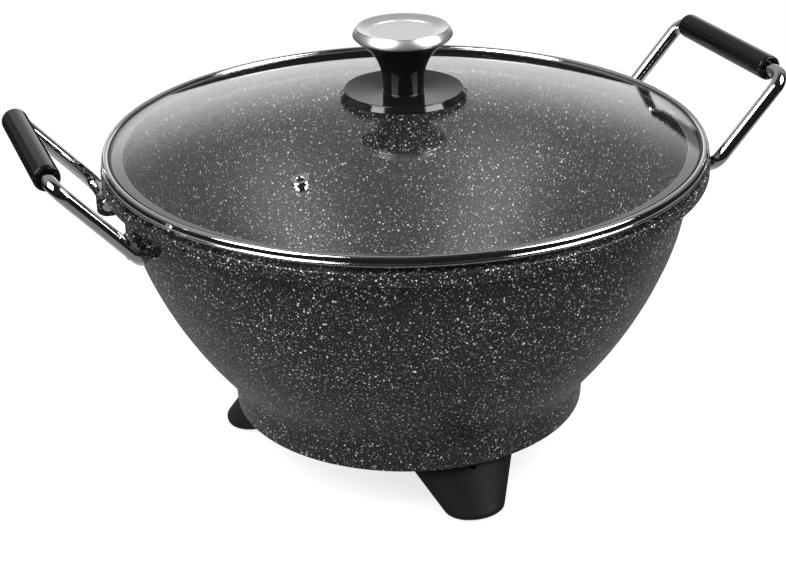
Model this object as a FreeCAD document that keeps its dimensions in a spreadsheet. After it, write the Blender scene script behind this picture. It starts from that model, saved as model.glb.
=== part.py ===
import FreeCAD, Part
import math
import os

import Sketcher

# Electric wok: a cast bowl on three legs, with a heating element under its floor,
# two swinging rod handles and a loose domed glass lid with a steel rim and a knob.
# The origin is on the ground under the bowl's centre; +Z is up, +Y is the inlet side.
# Lengths are in millimetres and angles in degrees.

SIZES = {
    # Rim of the pan: an outer band and a raised land that carries the lid.
    "rim_height": 171.8,
    "rim_radius": 161.4,
    "rim_depth": 6.7,
    "rim_round": 0.6,
    "land_rise": 3.0,
    "land_inset": 4.9,
    "land_width": 3.5,
    "ledge_drop": 3.7,
    "ledge_round": 2.3,
    # Bowl wall: two tangent arcs, the shoulder above and the belly below.
    "bowl_wall": 3.2,
    "neck_inset": 9.9,
    "neck_round": 1.5,
    "neck_lean": 1.7,
    "shoulder_radius": 135.4,
    "shoulder_lean": 20.6,
    "belly_radius": 230.0,
    # Skirt round the underside, and the cooking floor inside it.
    "skirt_radius": 98.0,
    "skirt_taper": 0.7,
    "skirt_wall": 3.5,
    "skirt_blend": 12.0,
    "floor_wall": 4.5,
    "floor_corner": 35.0,
    "boss_sink": 1.5,
    # Lugs that carry the handles.
    "pivot_inset": 4.8,
    "pivot_drop": 15.65,
    "lug_place": 31.25,
    "lug_width": 9.5,
    "lug_sink": 5.5,
    "lug_bulge": 3.6,
    "lug_neck": 4.0,
    "lug_flare": 3.0,
    "lug_below_pivot": 7.45,
    # Mark cast into the band.
    "mark_length": 5.0,
    "mark_height": 1.6,
    "mark_depth": 1.0,
    "mark_angle": -151.0,
    # Rod handles.
    "rod_radius": 3.75,
    "rod_clearance": 0.05,
    "rod_end_proud": 2.5,
    "rod_tip_round": 0.8,
    "arm_spread": 55.7,
    "arm_length": 61.4,
    "elbow_radius": 8.0,
    "handle_tilt": 48.4,
    "grip_radius": 6.75,
    "grip_round": 1.2,
    "grip_recess": 1.0,
    "grip_wall": 1.6,
    "grip_fit": 0.05,
    "grip_play": 3.4,
    "grip_rest_gap": 0.15,
    # Heating element in the ridge under the floor.
    "coil_radius": 52.0,
    "coil_drop": 5.1,
    "coil_clearance": 0.7,
    "coil_bend": 12.0,
    "coil_short": 6.0,
    "tube_radius": 3.5,
    "tube_fit": 0.05,
    "ridge_margin": 1.2,
    "ridge_draft": 0.8,
    "pin_spacing": 33.0,
    "pin_radius": 2.5,
    "pin_length": 27.0,
    "sleeve_radius": 3.6,
    "sleeve_bore": 2.8,
    "sleeve_hold": 22.0,
    "sleeve_proud": 22.0,
    # Inlet shroud round the pins.
    "inlet_width": 56.0,
    "inlet_opening": 18.0,
    "inlet_corner": 4.0,
    "inlet_sheet": 1.2,
    "inlet_sink": 12.0,
    "inlet_depth": 30.0,
    "inlet_gap": 0.4,
    "tab_length": 20.0,
    "tab_screw_back": 10.5,
    "tab_screw_inset": 3.0,
    "tab_boss_radius": 4.6,
    # Base plate and the legs under it.
    "plate_recess": 0.5,
    "plate_sheet": 0.8,
    "plate_gap": 0.5,
    "boss_radius": 6.0,
    "leg_height": 30.0,
    "leg_inset": 9.0,
    "leg_splay": 23.8,
    "leg_half_width": 32.9,
    "leg_half_depth": 18.9,
    "leg_end_radius": 12.5,
    "foot_radius": 15.9,
    "foot_round": 2.5,
    "slot_width": 4.5,
    "slot_height": 6.0,
    "slot_depth": 3.0,
    "pad_radius": 11.0,
    "pad_height": 2.8,
    "pad_proud": 0.8,
    "pad_round": 0.6,
    "pad_fit": 0.1,
    # Screws of the legs, the inlet and the knob.
    "screw_radius": 2.0,
    "screw_head_radius": 4.0,
    "screw_head_height": 2.5,
    "screw_grip": 9.0,
    "screw_bite": 8.0,
    "screw_fit": 0.1,
    "head_fit": 0.5,
    # Lid: a glass dome in a steel rim with a silicone gasket.
    "dome_radius": 522.0,
    "glass_edge_rise": 4.0,
    "glass_inset": 4.2,
    "glass_wall": 3.0,
    "lid_inset": 1.4,
    "lid_wall": 3.4,
    "lid_roll": 1.6,
    "lid_sheet": 0.6,
    "bead_height": 1.9,
    "bead_radius": 0.97,
    "lid_skirt_gap": 0.8,
    "lid_skirt_sheet": 1.1,
    "lid_skirt_drop": 5.2,
    "gasket_reach": 3.3,
    "gasket_lip": 0.7,
    # Steam vent through the glass.
    "vent_place": 108.2,
    "vent_angle": -138.6,
    "vent_bore": 2.0,
    "vent_barrel": 3.2,
    "vent_flange": 4.75,
    "vent_height": 2.4,
    "vent_curl": 1.0,
    "vent_seat": 0.1,
    "vent_fit": 0.1,
    # Knob on the dome.
    "knob_seat": 1.0,
    "knob_radius": 33.7,
    "knob_lip": 0.9,
    "knob_lip_width": 3.2,
    "knob_edge": 0.6,
    "knob_flange_draw": 2.3,
    "knob_flange_height": 3.5,
    "knob_dish": 1.6,
    "knob_fillet": 3.0,
    "knob_waist": 10.8,
    "knob_waist_height": 6.7,
    "knob_neck": 24.0,
    "knob_neck_height": 29.9,
    "cap_overhang": 2.1,
    "cap_edge": 1.6,
    "cap_lower": 2.9,
    "cap_upper": 3.0,
    "cap_bevel": 1.7,
    "cap_upper_bend": 6.0,
    "cap_rim_width": 5.4,
    "cap_crown": 0.9,
    "cap_crown_bend": 6.9,
    "cap_slope_width": 3.1,
    "cap_slope_bend": 3.45,
    "cap_dish_depth": 1.4,
    "cap_sheet": 0.8,
    "cap_fit": 0.1,
    "seal_fit": 0.2,
    "insert_radius": 4.5,
    "insert_length": 14.0,
    "insert_fit": 0.05,
    "knob_screw_radius": 2.5,
    "knob_screw_head": 5.0,
    "knob_screw_head_height": 3.2,
    "glass_hole_gap": 0.7,
    "washer_radius": 11.0,
    "washer_sheet": 1.0,
}

ENDS = {"left": -1, "right": 1}
LEGS = {"front": -90, "rear_right": 30, "rear_left": 150}


class Size:
    """A number with the spreadsheet formula that it comes from."""

    def __init__(self, formula, number):
        self.formula = formula
        self.number = number

    def __add__(self, other):
        other = sized(other)
        return Size("(%s + %s)" % (self.formula, other.formula), self.number + other.number)

    def __sub__(self, other):
        other = sized(other)
        return Size("(%s - %s)" % (self.formula, other.formula), self.number - other.number)

    def __mul__(self, other):
        other = sized(other)
        return Size("(%s * %s)" % (self.formula, other.formula), self.number * other.number)

    def __truediv__(self, other):
        other = sized(other)
        return Size("(%s / %s)" % (self.formula, other.formula), self.number / other.number)

    def __neg__(self):
        return Size("(0 - %s)" % self.formula, -self.number)

    __radd__ = __add__
    __rmul__ = __mul__


def sized(value):
    """A plain number as a Size; a Size as it is."""
    if isinstance(value, Size):
        return value
    return Size("(%s)" % float(value), float(value))


def sine(angle):
    """The sine of an angle in degrees."""
    angle = sized(angle)
    return Size("sin(%s)" % angle.formula, math.sin(math.radians(angle.number)))


def cosine(angle):
    """The cosine of an angle in degrees."""
    angle = sized(angle)
    return Size("cos(%s)" % angle.formula, math.cos(math.radians(angle.number)))


def root(value):
    """The square root of a value."""
    return Size("sqrt(%s)" % value.formula, math.sqrt(value.number))


def leg_of(hypotenuse, side):
    """The other short side of a right triangle."""
    return root(hypotenuse * hypotenuse - side * side)


class Sheet:
    """The spreadsheet of driving dimensions; each one is read as an attribute."""

    def __init__(self, document, values):
        self.cells = document.addObject("Spreadsheet::Sheet", "Sizes")
        for row, (name, value) in enumerate(values.items(), start=1):
            self.cells.set("A%d" % row, name)
            self.cells.set("B%d" % row, str(value))
            self.cells.setAlias("B%d" % row, name)
        document.recompute()

    def __getattr__(self, name):
        return Size("Sizes." + name, float(getattr(self.cells, name)))


DOCUMENT = FreeCAD.newDocument("ElectricWok")
D = Sheet(DOCUMENT, SIZES)

# Heights and radii of the rim, which the lid and the handles follow.
RIM_UNDERSIDE = D.rim_height - D.rim_depth
LID_SEAT = D.rim_height + D.land_rise
LAND_RADIUS = D.rim_radius - D.land_inset
MOUTH_RADIUS = LAND_RADIUS - D.land_width
NECK_RADIUS = D.rim_radius - D.neck_inset
LUG_ROOT = NECK_RADIUS - D.lug_sink
PIVOT_REACH = D.rim_radius - D.pivot_inset
PIVOT_HEIGHT = D.rim_height - D.pivot_drop

# Heights of the underside, from the legs up to the cooking floor.
PLATE_BOTTOM = D.leg_height
PLATE_TOP = PLATE_BOTTOM + D.plate_sheet
SKIRT_HEIGHT = PLATE_BOTTOM - D.plate_recess
COIL_HEIGHT = PLATE_TOP + D.coil_clearance + D.tube_radius
FLOOR_UNDERSIDE = COIL_HEIGHT + D.coil_drop
FLOOR_HEIGHT = FLOOR_UNDERSIDE + D.floor_wall
BOSS_TOP = FLOOR_UNDERSIDE + D.boss_sink
INLET_BOTTOM = COIL_HEIGHT - D.inlet_opening / 2
INLET_TAB = INLET_BOTTOM - D.inlet_sheet

# Places under the skirt, which the legs, the inlet and the element follow.
SKIRT_FOOT = D.skirt_radius - D.skirt_taper
SKIRT_INSIDE = SKIRT_FOOT - D.skirt_wall
LEG_PLACE = D.skirt_radius - D.leg_half_depth - D.leg_inset
FOOT_PLACE = LEG_PLACE + D.leg_splay
INLET_START = D.skirt_radius - D.inlet_sink
TAB_SCREW_PLACE = INLET_START - D.tab_screw_back
TAB_SCREW_REACH = D.inlet_width / 2 - D.tab_screw_inset
COIL_END = INLET_START - D.coil_short
SLEEVE_START = COIL_END - D.sleeve_hold

# The handles' rod ends and grips.
ROD_TIP = D.lug_place - D.lug_width / 2 - D.rod_end_proud
GRIP_HALF = D.arm_spread - D.elbow_radius - D.grip_play
GRIP_SLIP = D.grip_play - D.grip_rest_gap

# Radii and heights of the lid and its knob.
LID_RADIUS = D.rim_radius - D.lid_inset
GLASS_RADIUS = LID_RADIUS - D.glass_inset
GLASS_INSIDE = D.dome_radius - D.glass_wall
DOME_CENTRE = LID_SEAT + D.glass_edge_rise - leg_of(D.dome_radius, GLASS_RADIUS)
DOME_TOP = DOME_CENTRE + D.dome_radius
CAP_RADIUS = D.knob_neck + D.cap_overhang
CAP_CREST = CAP_RADIUS - D.cap_rim_width
CAP_DISH = CAP_CREST - D.cap_slope_width
KNOB_BASE = DOME_TOP + D.knob_seat
WASHER_TOP = DOME_CENTRE + leg_of(GLASS_INSIDE, D.washer_radius)


def bind(item, name, value):
    """Ties a property of a feature to a formula of the sheet."""
    item.setExpression(name, sized(value).formula)


def placement(x, y, z, axis, angle):
    """The formula of a placement: a shift and a turn about an axis."""
    spot = "; ".join(sized(part).formula for part in (x, y, z))
    pole = "; ".join(sized(part).formula for part in axis)
    return "placement(vector(%s); rotation(vector(%s); %s))" % (spot, pole, sized(angle).formula)


def new_body(name):
    """A body whose label is the sub-part's name."""
    body = DOCUMENT.addObject("PartDesign::Body", "Body_" + name)
    body.Label = name
    return body


def new_sketch(body, name, plane, place=0):
    """A sketch on an origin plane, moved along the plane's own axis to the given place."""
    sketch = body.newObject("Sketcher::SketchObject", name)
    support = next(item for item in body.Origin.OriginFeatures if item.Role == plane)
    sketch.AttachmentSupport = [(support, "")]
    sketch.MapMode = "FlatFace"
    facing = -1 if plane == "XZ_Plane" else 1
    bind(sketch, "AttachmentOffset.Base.z", sized(place) * facing)
    return sketch


def arc_between(start, finish, bend, large):
    """The arc from start to finish; it turns left where bend is positive."""
    chord = finish - start
    rise = math.sqrt(max(bend ** 2 - (chord.Length / 2) ** 2, 0))
    side = 1 if (bend > 0) != large else -1
    left = FreeCAD.Vector(-chord.y, chord.x, 0).normalize()
    centre = (start + finish) / 2 + left * rise * side
    first, last = (start, finish) if bend > 0 else (finish, start)
    begin = math.atan2(first.y - centre.y, first.x - centre.x)
    end = math.atan2(last.y - centre.y, last.x - centre.x)
    if end <= begin:
        end += 2 * math.pi
    return Part.ArcOfCircle(Part.Circle(centre, FreeCAD.Vector(0, 0, 1), abs(bend)), begin, end)


def constrain(sketch, held):
    """Adds constraints given as (kind, places, value) and ties each value to its formula."""
    first = sketch.ConstraintCount
    made = []
    for kind, places, value in held:
        numbers = () if value is None else (value.number,)
        made.append(Sketcher.Constraint(kind, *places, *numbers))
    sketch.addConstraint(made)
    for index, (kind, places, value) in enumerate(held, start=first):
        if value is not None and "Sizes" in value.formula:
            sketch.setExpression("Constraints[%d]" % index, value.formula)


def draw(sketch, path, closed=True):
    """Draws lines and arcs from point to point.

    A point is (x, y), or (x, y, bend) where an arc of that radius reaches it, turning left
    if the radius is positive, or (x, y, bend, True) for the longer way round.
    """
    spots = [(sized(step[0]), sized(step[1])) for step in path]
    vectors = [FreeCAD.Vector(x.number, y.number, 0) for x, y in spots]
    first = sketch.GeometryCount
    begin = 0 if closed else 1
    edges = []
    held = []
    for index in range(begin, len(path)):
        edge = first + len(edges)
        bend = sized(path[index][2]) if len(path[index]) > 2 else None
        if bend is None:
            edges.append(Part.LineSegment(vectors[index - 1], vectors[index]))
        else:
            large = len(path[index]) > 3
            edges.append(arc_between(vectors[index - 1], vectors[index], bend.number, large))
            held.append(("Radius", (edge,), bend if bend.number > 0 else -bend))
        backward = bend is not None and bend.number < 0
        head, tail = (2, 1) if backward else (1, 2)
        if index > begin:
            held.append(("Coincident", (edge - 1, joint, edge, head), None))
        else:
            opening = (edge, head)
        if index == begin and not closed:
            held.append(("DistanceX", (edge, head), spots[0][0]))
            held.append(("DistanceY", (edge, head), spots[0][1]))
        held.append(("DistanceX", (edge, tail), spots[index][0]))
        held.append(("DistanceY", (edge, tail), spots[index][1]))
        joint = tail
    if closed:
        held.append(("Coincident", (first + len(edges) - 1, joint) + opening, None))
    sketch.addGeometry(edges)
    constrain(sketch, held)
    return sketch


def draw_circle(sketch, x, y, radius):
    """A circle held by its centre and radius."""
    edge = sketch.GeometryCount
    x, y, radius = sized(x), sized(y), sized(radius)
    centre = FreeCAD.Vector(x.number, y.number, 0)
    sketch.addGeometry(Part.Circle(centre, FreeCAD.Vector(0, 0, 1), radius.number))
    constrain(sketch, [
        ("DistanceX", (edge, 3), x),
        ("DistanceY", (edge, 3), y),
        ("Radius", (edge,), radius),
    ])
    return sketch


def draw_box(sketch, left, right, bottom, top, corner=None):
    """A rectangle, with rounded corners where a corner radius is given."""
    if corner is None:
        return draw(sketch, [(left, bottom), (right, bottom), (right, top), (left, top)])
    return draw(sketch, [
        (right - corner, bottom),
        (right, bottom + corner, corner),
        (right, top - corner),
        (right - corner, top, corner),
        (left + corner, top),
        (left, top - corner, corner),
        (left, bottom + corner),
        (left + corner, bottom, corner),
    ])


def add_feature(body, kind, sketch):
    """A feature of the body made from a sketch; it becomes the body's tip."""
    feature = body.newObject("PartDesign::" + kind, sketch.Name + kind)
    feature.Profile = sketch
    body.Tip = feature
    return feature


def turn(body, sketch, cut=False, axis="V_Axis"):
    """A full revolution of a sketch about its own upright or level axis."""
    feature = add_feature(body, "Groove" if cut else "Revolution", sketch)
    feature.ReferenceAxis = (sketch, [axis])
    feature.Angle = 360
    return feature


def extrude(body, sketch, length, cut=False, backward=False, both=False):
    """A pad or pocket; forward is along the sketch's normal for a pad, against it for a pocket."""
    feature = add_feature(body, "Pocket" if cut else "Pad", sketch)
    bind(feature, "Length", length)
    feature.Reversed = backward
    if both:
        feature.SideType = "Symmetric"
    return feature


def round_edges(body, radius, chosen):
    """Fillets the edges of the body's tip that the chosen test picks."""
    DOCUMENT.recompute()
    base = body.Tip
    edges = base.Shape.Edges
    names = ["Edge%d" % number for number, edge in enumerate(edges, start=1) if chosen(edge)]
    fillet = body.newObject("PartDesign::Fillet", base.Name + "Round")
    fillet.Base = (base, names)
    bind(fillet, "Radius", radius)
    body.Tip = fillet
    return fillet


# Centres of the bowl's arcs, worked out from the neck downwards.
NECK_HEIGHT = RIM_UNDERSIDE - D.neck_round
SHOULDER_X = NECK_RADIUS - D.shoulder_radius * cosine(D.neck_lean)
SHOULDER_Z = NECK_HEIGHT + D.shoulder_radius * sine(D.neck_lean)
BELLY_X = SHOULDER_X + (D.shoulder_radius - D.belly_radius) * cosine(D.shoulder_lean)
BELLY_Z = SHOULDER_Z - (D.shoulder_radius - D.belly_radius) * sine(D.shoulder_lean)


def on_shoulder(radius, lean):
    """A point of a circle about the shoulder's centre, where the wall leans outwards so far."""
    return SHOULDER_X + radius * cosine(lean), SHOULDER_Z - radius * sine(lean)


def pan_section():
    """Half section of the casting, from the floor's underside round the outside and back inside."""
    inner_shoulder = D.shoulder_radius - D.bowl_wall
    inner_belly = D.belly_radius - D.bowl_wall
    # The blend between belly and skirt touches the belly from outside.
    blend_x = D.skirt_radius + D.skirt_blend
    blend_reach = D.belly_radius + D.skirt_blend
    blend_z = BELLY_Z - leg_of(blend_reach, blend_x - BELLY_X)
    blend_share = D.belly_radius / blend_reach
    belly_foot_x = BELLY_X + (blend_x - BELLY_X) * blend_share
    belly_foot_z = BELLY_Z - (BELLY_Z - blend_z) * blend_share
    # The floor's corner touches the inside of the belly.
    corner_z = FLOOR_HEIGHT + D.floor_corner
    corner_reach = inner_belly - D.floor_corner
    corner_x = BELLY_X + leg_of(corner_reach, BELLY_Z - corner_z)
    corner_share = inner_belly / corner_reach
    belly_root_x = BELLY_X + (corner_x - BELLY_X) * corner_share
    belly_root_z = BELLY_Z - (BELLY_Z - corner_z) * corner_share
    under_corner = D.floor_corner + D.floor_wall
    skirt_root_z = corner_z - leg_of(under_corner, SKIRT_INSIDE - corner_x)
    ridge_half = D.tube_radius + D.ridge_margin
    shoulder_foot = on_shoulder(D.shoulder_radius, D.shoulder_lean)
    neck_inside = on_shoulder(inner_shoulder, D.neck_lean)
    ledge = D.rim_height - D.ledge_drop
    return [
        (0, FLOOR_UNDERSIDE),
        (D.coil_radius - ridge_half - D.ridge_draft, FLOOR_UNDERSIDE),
        (D.coil_radius - ridge_half, COIL_HEIGHT),
        (D.coil_radius + ridge_half, COIL_HEIGHT),
        (D.coil_radius + ridge_half + D.ridge_draft, FLOOR_UNDERSIDE),
        (corner_x, FLOOR_UNDERSIDE),
        (SKIRT_INSIDE, skirt_root_z, under_corner),
        (SKIRT_INSIDE, SKIRT_HEIGHT),
        (SKIRT_FOOT, SKIRT_HEIGHT),
        (D.skirt_radius, blend_z),
        (belly_foot_x, belly_foot_z, -D.skirt_blend),
        (shoulder_foot[0], shoulder_foot[1], D.belly_radius),
        (NECK_RADIUS, NECK_HEIGHT, D.shoulder_radius),
        (NECK_RADIUS + D.neck_round, RIM_UNDERSIDE, -D.neck_round),
        (D.rim_radius - D.rim_round, RIM_UNDERSIDE),
        (D.rim_radius, RIM_UNDERSIDE + D.rim_round, D.rim_round),
        (D.rim_radius, D.rim_height - D.rim_round),
        (D.rim_radius - D.rim_round, D.rim_height, D.rim_round),
        (LAND_RADIUS, D.rim_height),
        (LAND_RADIUS, LID_SEAT),
        (MOUTH_RADIUS, LID_SEAT),
        (MOUTH_RADIUS, ledge),
        (neck_inside[0] + D.ledge_round, ledge),
        (neck_inside[0], ledge - D.ledge_round, D.ledge_round),
        neck_inside,
        on_shoulder(inner_shoulder, D.shoulder_lean) + (-inner_shoulder,),
        (belly_root_x, belly_root_z, -inner_belly),
        (corner_x, FLOOR_HEIGHT, -D.floor_corner),
        (0, FLOOR_HEIGHT),
    ]


def add_lugs(body):
    """Four tabs under the band, with a bore along each side's pivot line."""
    for side_name, side in ENDS.items():
        for end_name, end in (("near", -1), ("far", 1)):
            name = "Lug_%s_%s" % (side_name, end_name)
            sketch = new_sketch(body, name, "XZ_Plane", D.lug_place * end)
            outer = PIVOT_REACH + D.lug_below_pivot
            foot = PIVOT_HEIGHT - D.lug_below_pivot
            draw(sketch, [
                (LUG_ROOT * side, foot),
                (PIVOT_REACH * side, foot),
                (outer * side, PIVOT_HEIGHT, D.lug_below_pivot * side),
                (outer * side, RIM_UNDERSIDE + D.rim_round),
                (LUG_ROOT * side, RIM_UNDERSIDE + D.rim_round),
            ])
            extrude(body, sketch, D.lug_width, both=True)
    neck_foot = RIM_UNDERSIDE - D.lug_neck
    bulge = D.rim_radius + D.lug_bulge
    outside = D.rim_radius + D.lug_below_pivot * 2
    trim = new_sketch(body, "LugTrim", "XZ_Plane")
    draw(trim, [
        (D.rim_radius, RIM_UNDERSIDE + D.rim_round * 2),
        (D.rim_radius, neck_foot),
        (bulge, neck_foot - D.lug_flare),
        (bulge, PIVOT_HEIGHT - D.lug_below_pivot * 2),
        (outside, PIVOT_HEIGHT - D.lug_below_pivot * 2),
        (outside, RIM_UNDERSIDE + D.rim_round * 2),
    ])
    turn(body, trim, cut=True)
    bores = new_sketch(body, "PivotBores", "XZ_Plane")
    for side in ENDS.values():
        draw_circle(bores, PIVOT_REACH * side, PIVOT_HEIGHT, D.rod_radius + D.rod_clearance)
    extrude(body, bores, (D.lug_place + D.lug_width) * 2, cut=True, both=True)


def coil_route(sketch, end):
    """The element's line: a ring that opens to the back, with two straight ends."""
    half = D.pin_spacing / 2
    bend_x = half + D.coil_bend
    reach = D.coil_radius + D.coil_bend
    bend_y = leg_of(reach, bend_x)
    share = D.coil_radius / reach
    return draw(sketch, [
        (half, end),
        (half, bend_y),
        (bend_x * share, bend_y * share, D.coil_bend),
        (-bend_x * share, bend_y * share, -D.coil_radius, True),
        (-half, bend_y, D.coil_bend),
        (-half, end),
    ], closed=False)


def add_element_seat(body):
    """The block at the ridge's opening, and the grooves for the element and the probe sleeve."""
    half = D.pin_spacing / 2 + D.tube_radius + D.ridge_margin
    seat_end = COIL_END + D.ridge_margin
    block = new_sketch(body, "ElementBlock", "XY_Plane", COIL_HEIGHT)
    draw_box(block, -half, half, D.coil_radius - D.tube_radius, seat_end)
    extrude(body, block, BOSS_TOP - COIL_HEIGHT)
    route = new_sketch(body, "GrooveRoute", "XY_Plane", COIL_HEIGHT)
    coil_route(route, seat_end + D.ridge_margin)
    section = new_sketch(body, "GrooveSection", "XZ_Plane", seat_end + D.ridge_margin)
    draw_circle(section, D.pin_spacing / 2, COIL_HEIGHT, D.tube_radius + D.tube_fit)
    groove = add_feature(body, "SubtractivePipe", section)
    groove.Spine = (route, [])
    sleeve = new_sketch(body, "SleeveGroove", "XZ_Plane", seat_end + D.ridge_margin)
    draw_circle(sleeve, 0, COIL_HEIGHT, D.sleeve_radius + D.tube_fit)
    extrude(body, sleeve, seat_end + D.ridge_margin - SLEEVE_START, cut=True, backward=True)


def leg_spot(radius, angle):
    """Where a point at this radius lies on the line of a leg."""
    return radius * cosine(angle), radius * sine(angle)


def tab_spots():
    """The places of the two screws that hold the inlet shroud."""
    return [(TAB_SCREW_REACH * side, TAB_SCREW_PLACE) for side in ENDS.values()]


def add_bosses(body):
    """Bosses under the floor for the leg screws and the inlet screws, each with its blind bore."""
    leg_bosses = new_sketch(body, "LegBosses", "XY_Plane", PLATE_TOP)
    leg_bores = new_sketch(body, "LegBores", "XY_Plane", PLATE_TOP)
    tab_bosses = new_sketch(body, "TabBosses", "XY_Plane", INLET_BOTTOM)
    tab_bores = new_sketch(body, "TabBores", "XY_Plane", INLET_BOTTOM)
    bore = D.screw_radius + D.screw_fit
    for angle in LEGS.values():
        x, y = leg_spot(LEG_PLACE, angle)
        draw_circle(leg_bosses, x, y, D.boss_radius)
        draw_circle(leg_bores, x, y, bore)
    for x, y in tab_spots():
        draw_circle(tab_bosses, x, y, D.tab_boss_radius)
        draw_circle(tab_bores, x, y, bore)
    extrude(body, leg_bosses, BOSS_TOP - PLATE_TOP)
    extrude(body, tab_bosses, BOSS_TOP - INLET_BOTTOM)
    extrude(body, leg_bores, D.screw_bite + D.head_fit, cut=True, backward=True)
    extrude(body, tab_bores, D.screw_bite + D.head_fit, cut=True, backward=True)


def inlet_outline(grow):
    """Left, right, bottom and top of the inlet's clear space, grown on each side."""
    half = D.inlet_width / 2 + grow
    return -half, half, INLET_BOTTOM - grow, COIL_HEIGHT + D.inlet_opening / 2 + grow


def add_inlet_notch(body):
    """The notch in the skirt that the inlet shroud passes through."""
    left, right, bottom, top = inlet_outline(D.inlet_sheet + D.inlet_gap)
    notch = new_sketch(body, "InletNotch", "XZ_Plane", INLET_START)
    draw_box(notch, left, right, bottom, top, D.inlet_corner + D.inlet_sheet + D.inlet_gap)
    extrude(body, notch, D.inlet_depth, cut=True)


def add_band_mark(body):
    """A small oblong pit cast into the band."""
    mark = new_sketch(body, "BandMark", "XZ_Plane")
    start = D.rim_radius + D.mark_depth
    x, y = leg_spot(start, D.mark_angle)
    mark.setExpression("AttachmentOffset.Base.z", None)
    facing = D.mark_angle + 90
    mark.setExpression("AttachmentOffset", placement(x, 0, -y, (0, 1, 0), facing))
    half = D.mark_length / 2
    end = D.mark_height / 2
    centre = D.rim_height - D.rim_depth / 2
    draw(mark, [
        (half - end, centre - end),
        (half, centre, end),
        (half - end, centre + end, end),
        (end - half, centre + end),
        (-half, centre, end),
        (end - half, centre - end, end),
    ])
    extrude(body, mark, D.mark_depth * 2, cut=True)


def make_pan():
    """The cast pan: bowl, rim, skirt, lugs, element ridge and bosses in one piece."""
    body = new_body("wok_pan")
    section = draw(new_sketch(body, "PanSection", "XZ_Plane"), pan_section())
    turn(body, section)
    add_lugs(body)
    add_element_seat(body)
    add_bosses(body)
    add_inlet_notch(body)
    add_band_mark(body)


def make_element():
    """The tubular heating element."""
    body = new_body("heating_element")
    route = coil_route(new_sketch(body, "ElementRoute", "XY_Plane", COIL_HEIGHT), COIL_END)
    section = new_sketch(body, "ElementSection", "XZ_Plane", COIL_END)
    draw_circle(section, D.pin_spacing / 2, COIL_HEIGHT, D.tube_radius)
    pipe = add_feature(body, "AdditivePipe", section)
    pipe.Spine = (route, [])


def make_terminal_pin(name, side):
    """A round-nosed pin on the end of the element."""
    body = new_body("terminal_pin_" + name)
    sketch = new_sketch(body, "Pin_" + name, "XY_Plane")
    draw(sketch, [
        (0, 0),
        (D.pin_radius, 0),
        (D.pin_radius, D.pin_length - D.pin_radius),
        (0, D.pin_length, D.pin_radius),
    ])
    turn(body, sketch)
    spot = placement(D.pin_spacing * side / 2, COIL_END, COIL_HEIGHT, (0, 1, 0), 0)
    body.setExpression("Placement", spot)


def make_probe_sleeve():
    """The tube between the pins that takes the thermostat's probe; its inner end is closed."""
    body = new_body("probe_sleeve")
    sketch = new_sketch(body, "SleeveSection", "XY_Plane")
    wall = D.sleeve_radius - D.sleeve_bore
    length = D.sleeve_hold + D.sleeve_proud
    draw(sketch, [
        (0, 0),
        (D.sleeve_radius, 0),
        (D.sleeve_radius, length),
        (D.sleeve_bore, length),
        (D.sleeve_bore, wall),
        (0, wall),
    ])
    turn(body, sketch)
    spot = placement(0, SLEEVE_START, COIL_HEIGHT, (0, 1, 0), 0)
    body.setExpression("Placement", spot)


def make_inlet_guard():
    """The pressed shroud round the pins, with a tab that is screwed up to the pan."""
    body = new_body("inlet_guard")
    left, right, bottom, top = inlet_outline(D.inlet_sheet)
    shell = new_sketch(body, "ShroudSection", "XZ_Plane", INLET_START)
    draw_box(shell, left, right, bottom, top, D.inlet_corner + D.inlet_sheet)
    draw_box(shell, *inlet_outline(sized(0)), D.inlet_corner)
    extrude(body, shell, D.inlet_depth, backward=True)
    tab = new_sketch(body, "TabOutline", "XY_Plane", INLET_TAB)
    tab_half = TAB_SCREW_REACH + D.tab_boss_radius
    tab_start = INLET_START - D.tab_length
    draw_box(tab, -tab_half, tab_half, tab_start, INLET_START + D.inlet_sheet, D.inlet_sheet)
    for x, y in tab_spots():
        draw_circle(tab, x, y, D.screw_radius + D.screw_fit)
    extrude(body, tab, D.inlet_sheet)


def make_base_plate():
    """The sheet that closes the skirt, cut away at the back for the inlet."""
    body = new_body("base_plate")
    outline = new_sketch(body, "PlateOutline", "XY_Plane", PLATE_BOTTOM)
    draw_circle(outline, 0, 0, SKIRT_INSIDE - D.plate_gap)
    for angle in LEGS.values():
        draw_circle(outline, *leg_spot(LEG_PLACE, angle), D.screw_radius + D.screw_fit)
    extrude(body, outline, D.plate_sheet)
    half = TAB_SCREW_REACH + D.tab_boss_radius + D.plate_gap
    start = TAB_SCREW_PLACE - D.tab_boss_radius - D.plate_gap
    notch = new_sketch(body, "PlateNotch", "XY_Plane", PLATE_BOTTOM)
    draw_box(notch, -half, half, start, D.skirt_radius + D.plate_gap)
    extrude(body, notch, D.plate_sheet, cut=True, backward=True)


def make_screw(name, x, y, seat, grip, bite):
    """A pan-head screw that points up, with its head's flat face at the seat."""
    body = new_body(name)
    sketch = new_sketch(body, "Screw_" + name, "XZ_Plane")
    crown = D.screw_head_height / 2
    draw(sketch, [
        (0, -D.screw_head_height),
        (D.screw_head_radius - crown, -D.screw_head_height),
        (D.screw_head_radius, crown - D.screw_head_height, crown),
        (D.screw_head_radius, 0),
        (D.screw_radius, 0),
        (D.screw_radius, grip + bite),
        (0, grip + bite),
    ])
    turn(body, sketch)
    body.setExpression("Placement", placement(x, y, seat, (0, 0, 1), 0))


def draw_four_arcs(sketch, centre_x, corner_x, corner_y, side_bend, end_bend):
    """A closed oval of four arcs about a point on the leg's line, given the corner where they meet."""
    return draw(sketch, [
        (centre_x + corner_x, corner_y, side_bend),
        (centre_x - corner_x, corner_y, end_bend),
        (centre_x - corner_x, -corner_y, side_bend),
        (centre_x + corner_x, -corner_y, end_bend),
    ])


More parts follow.
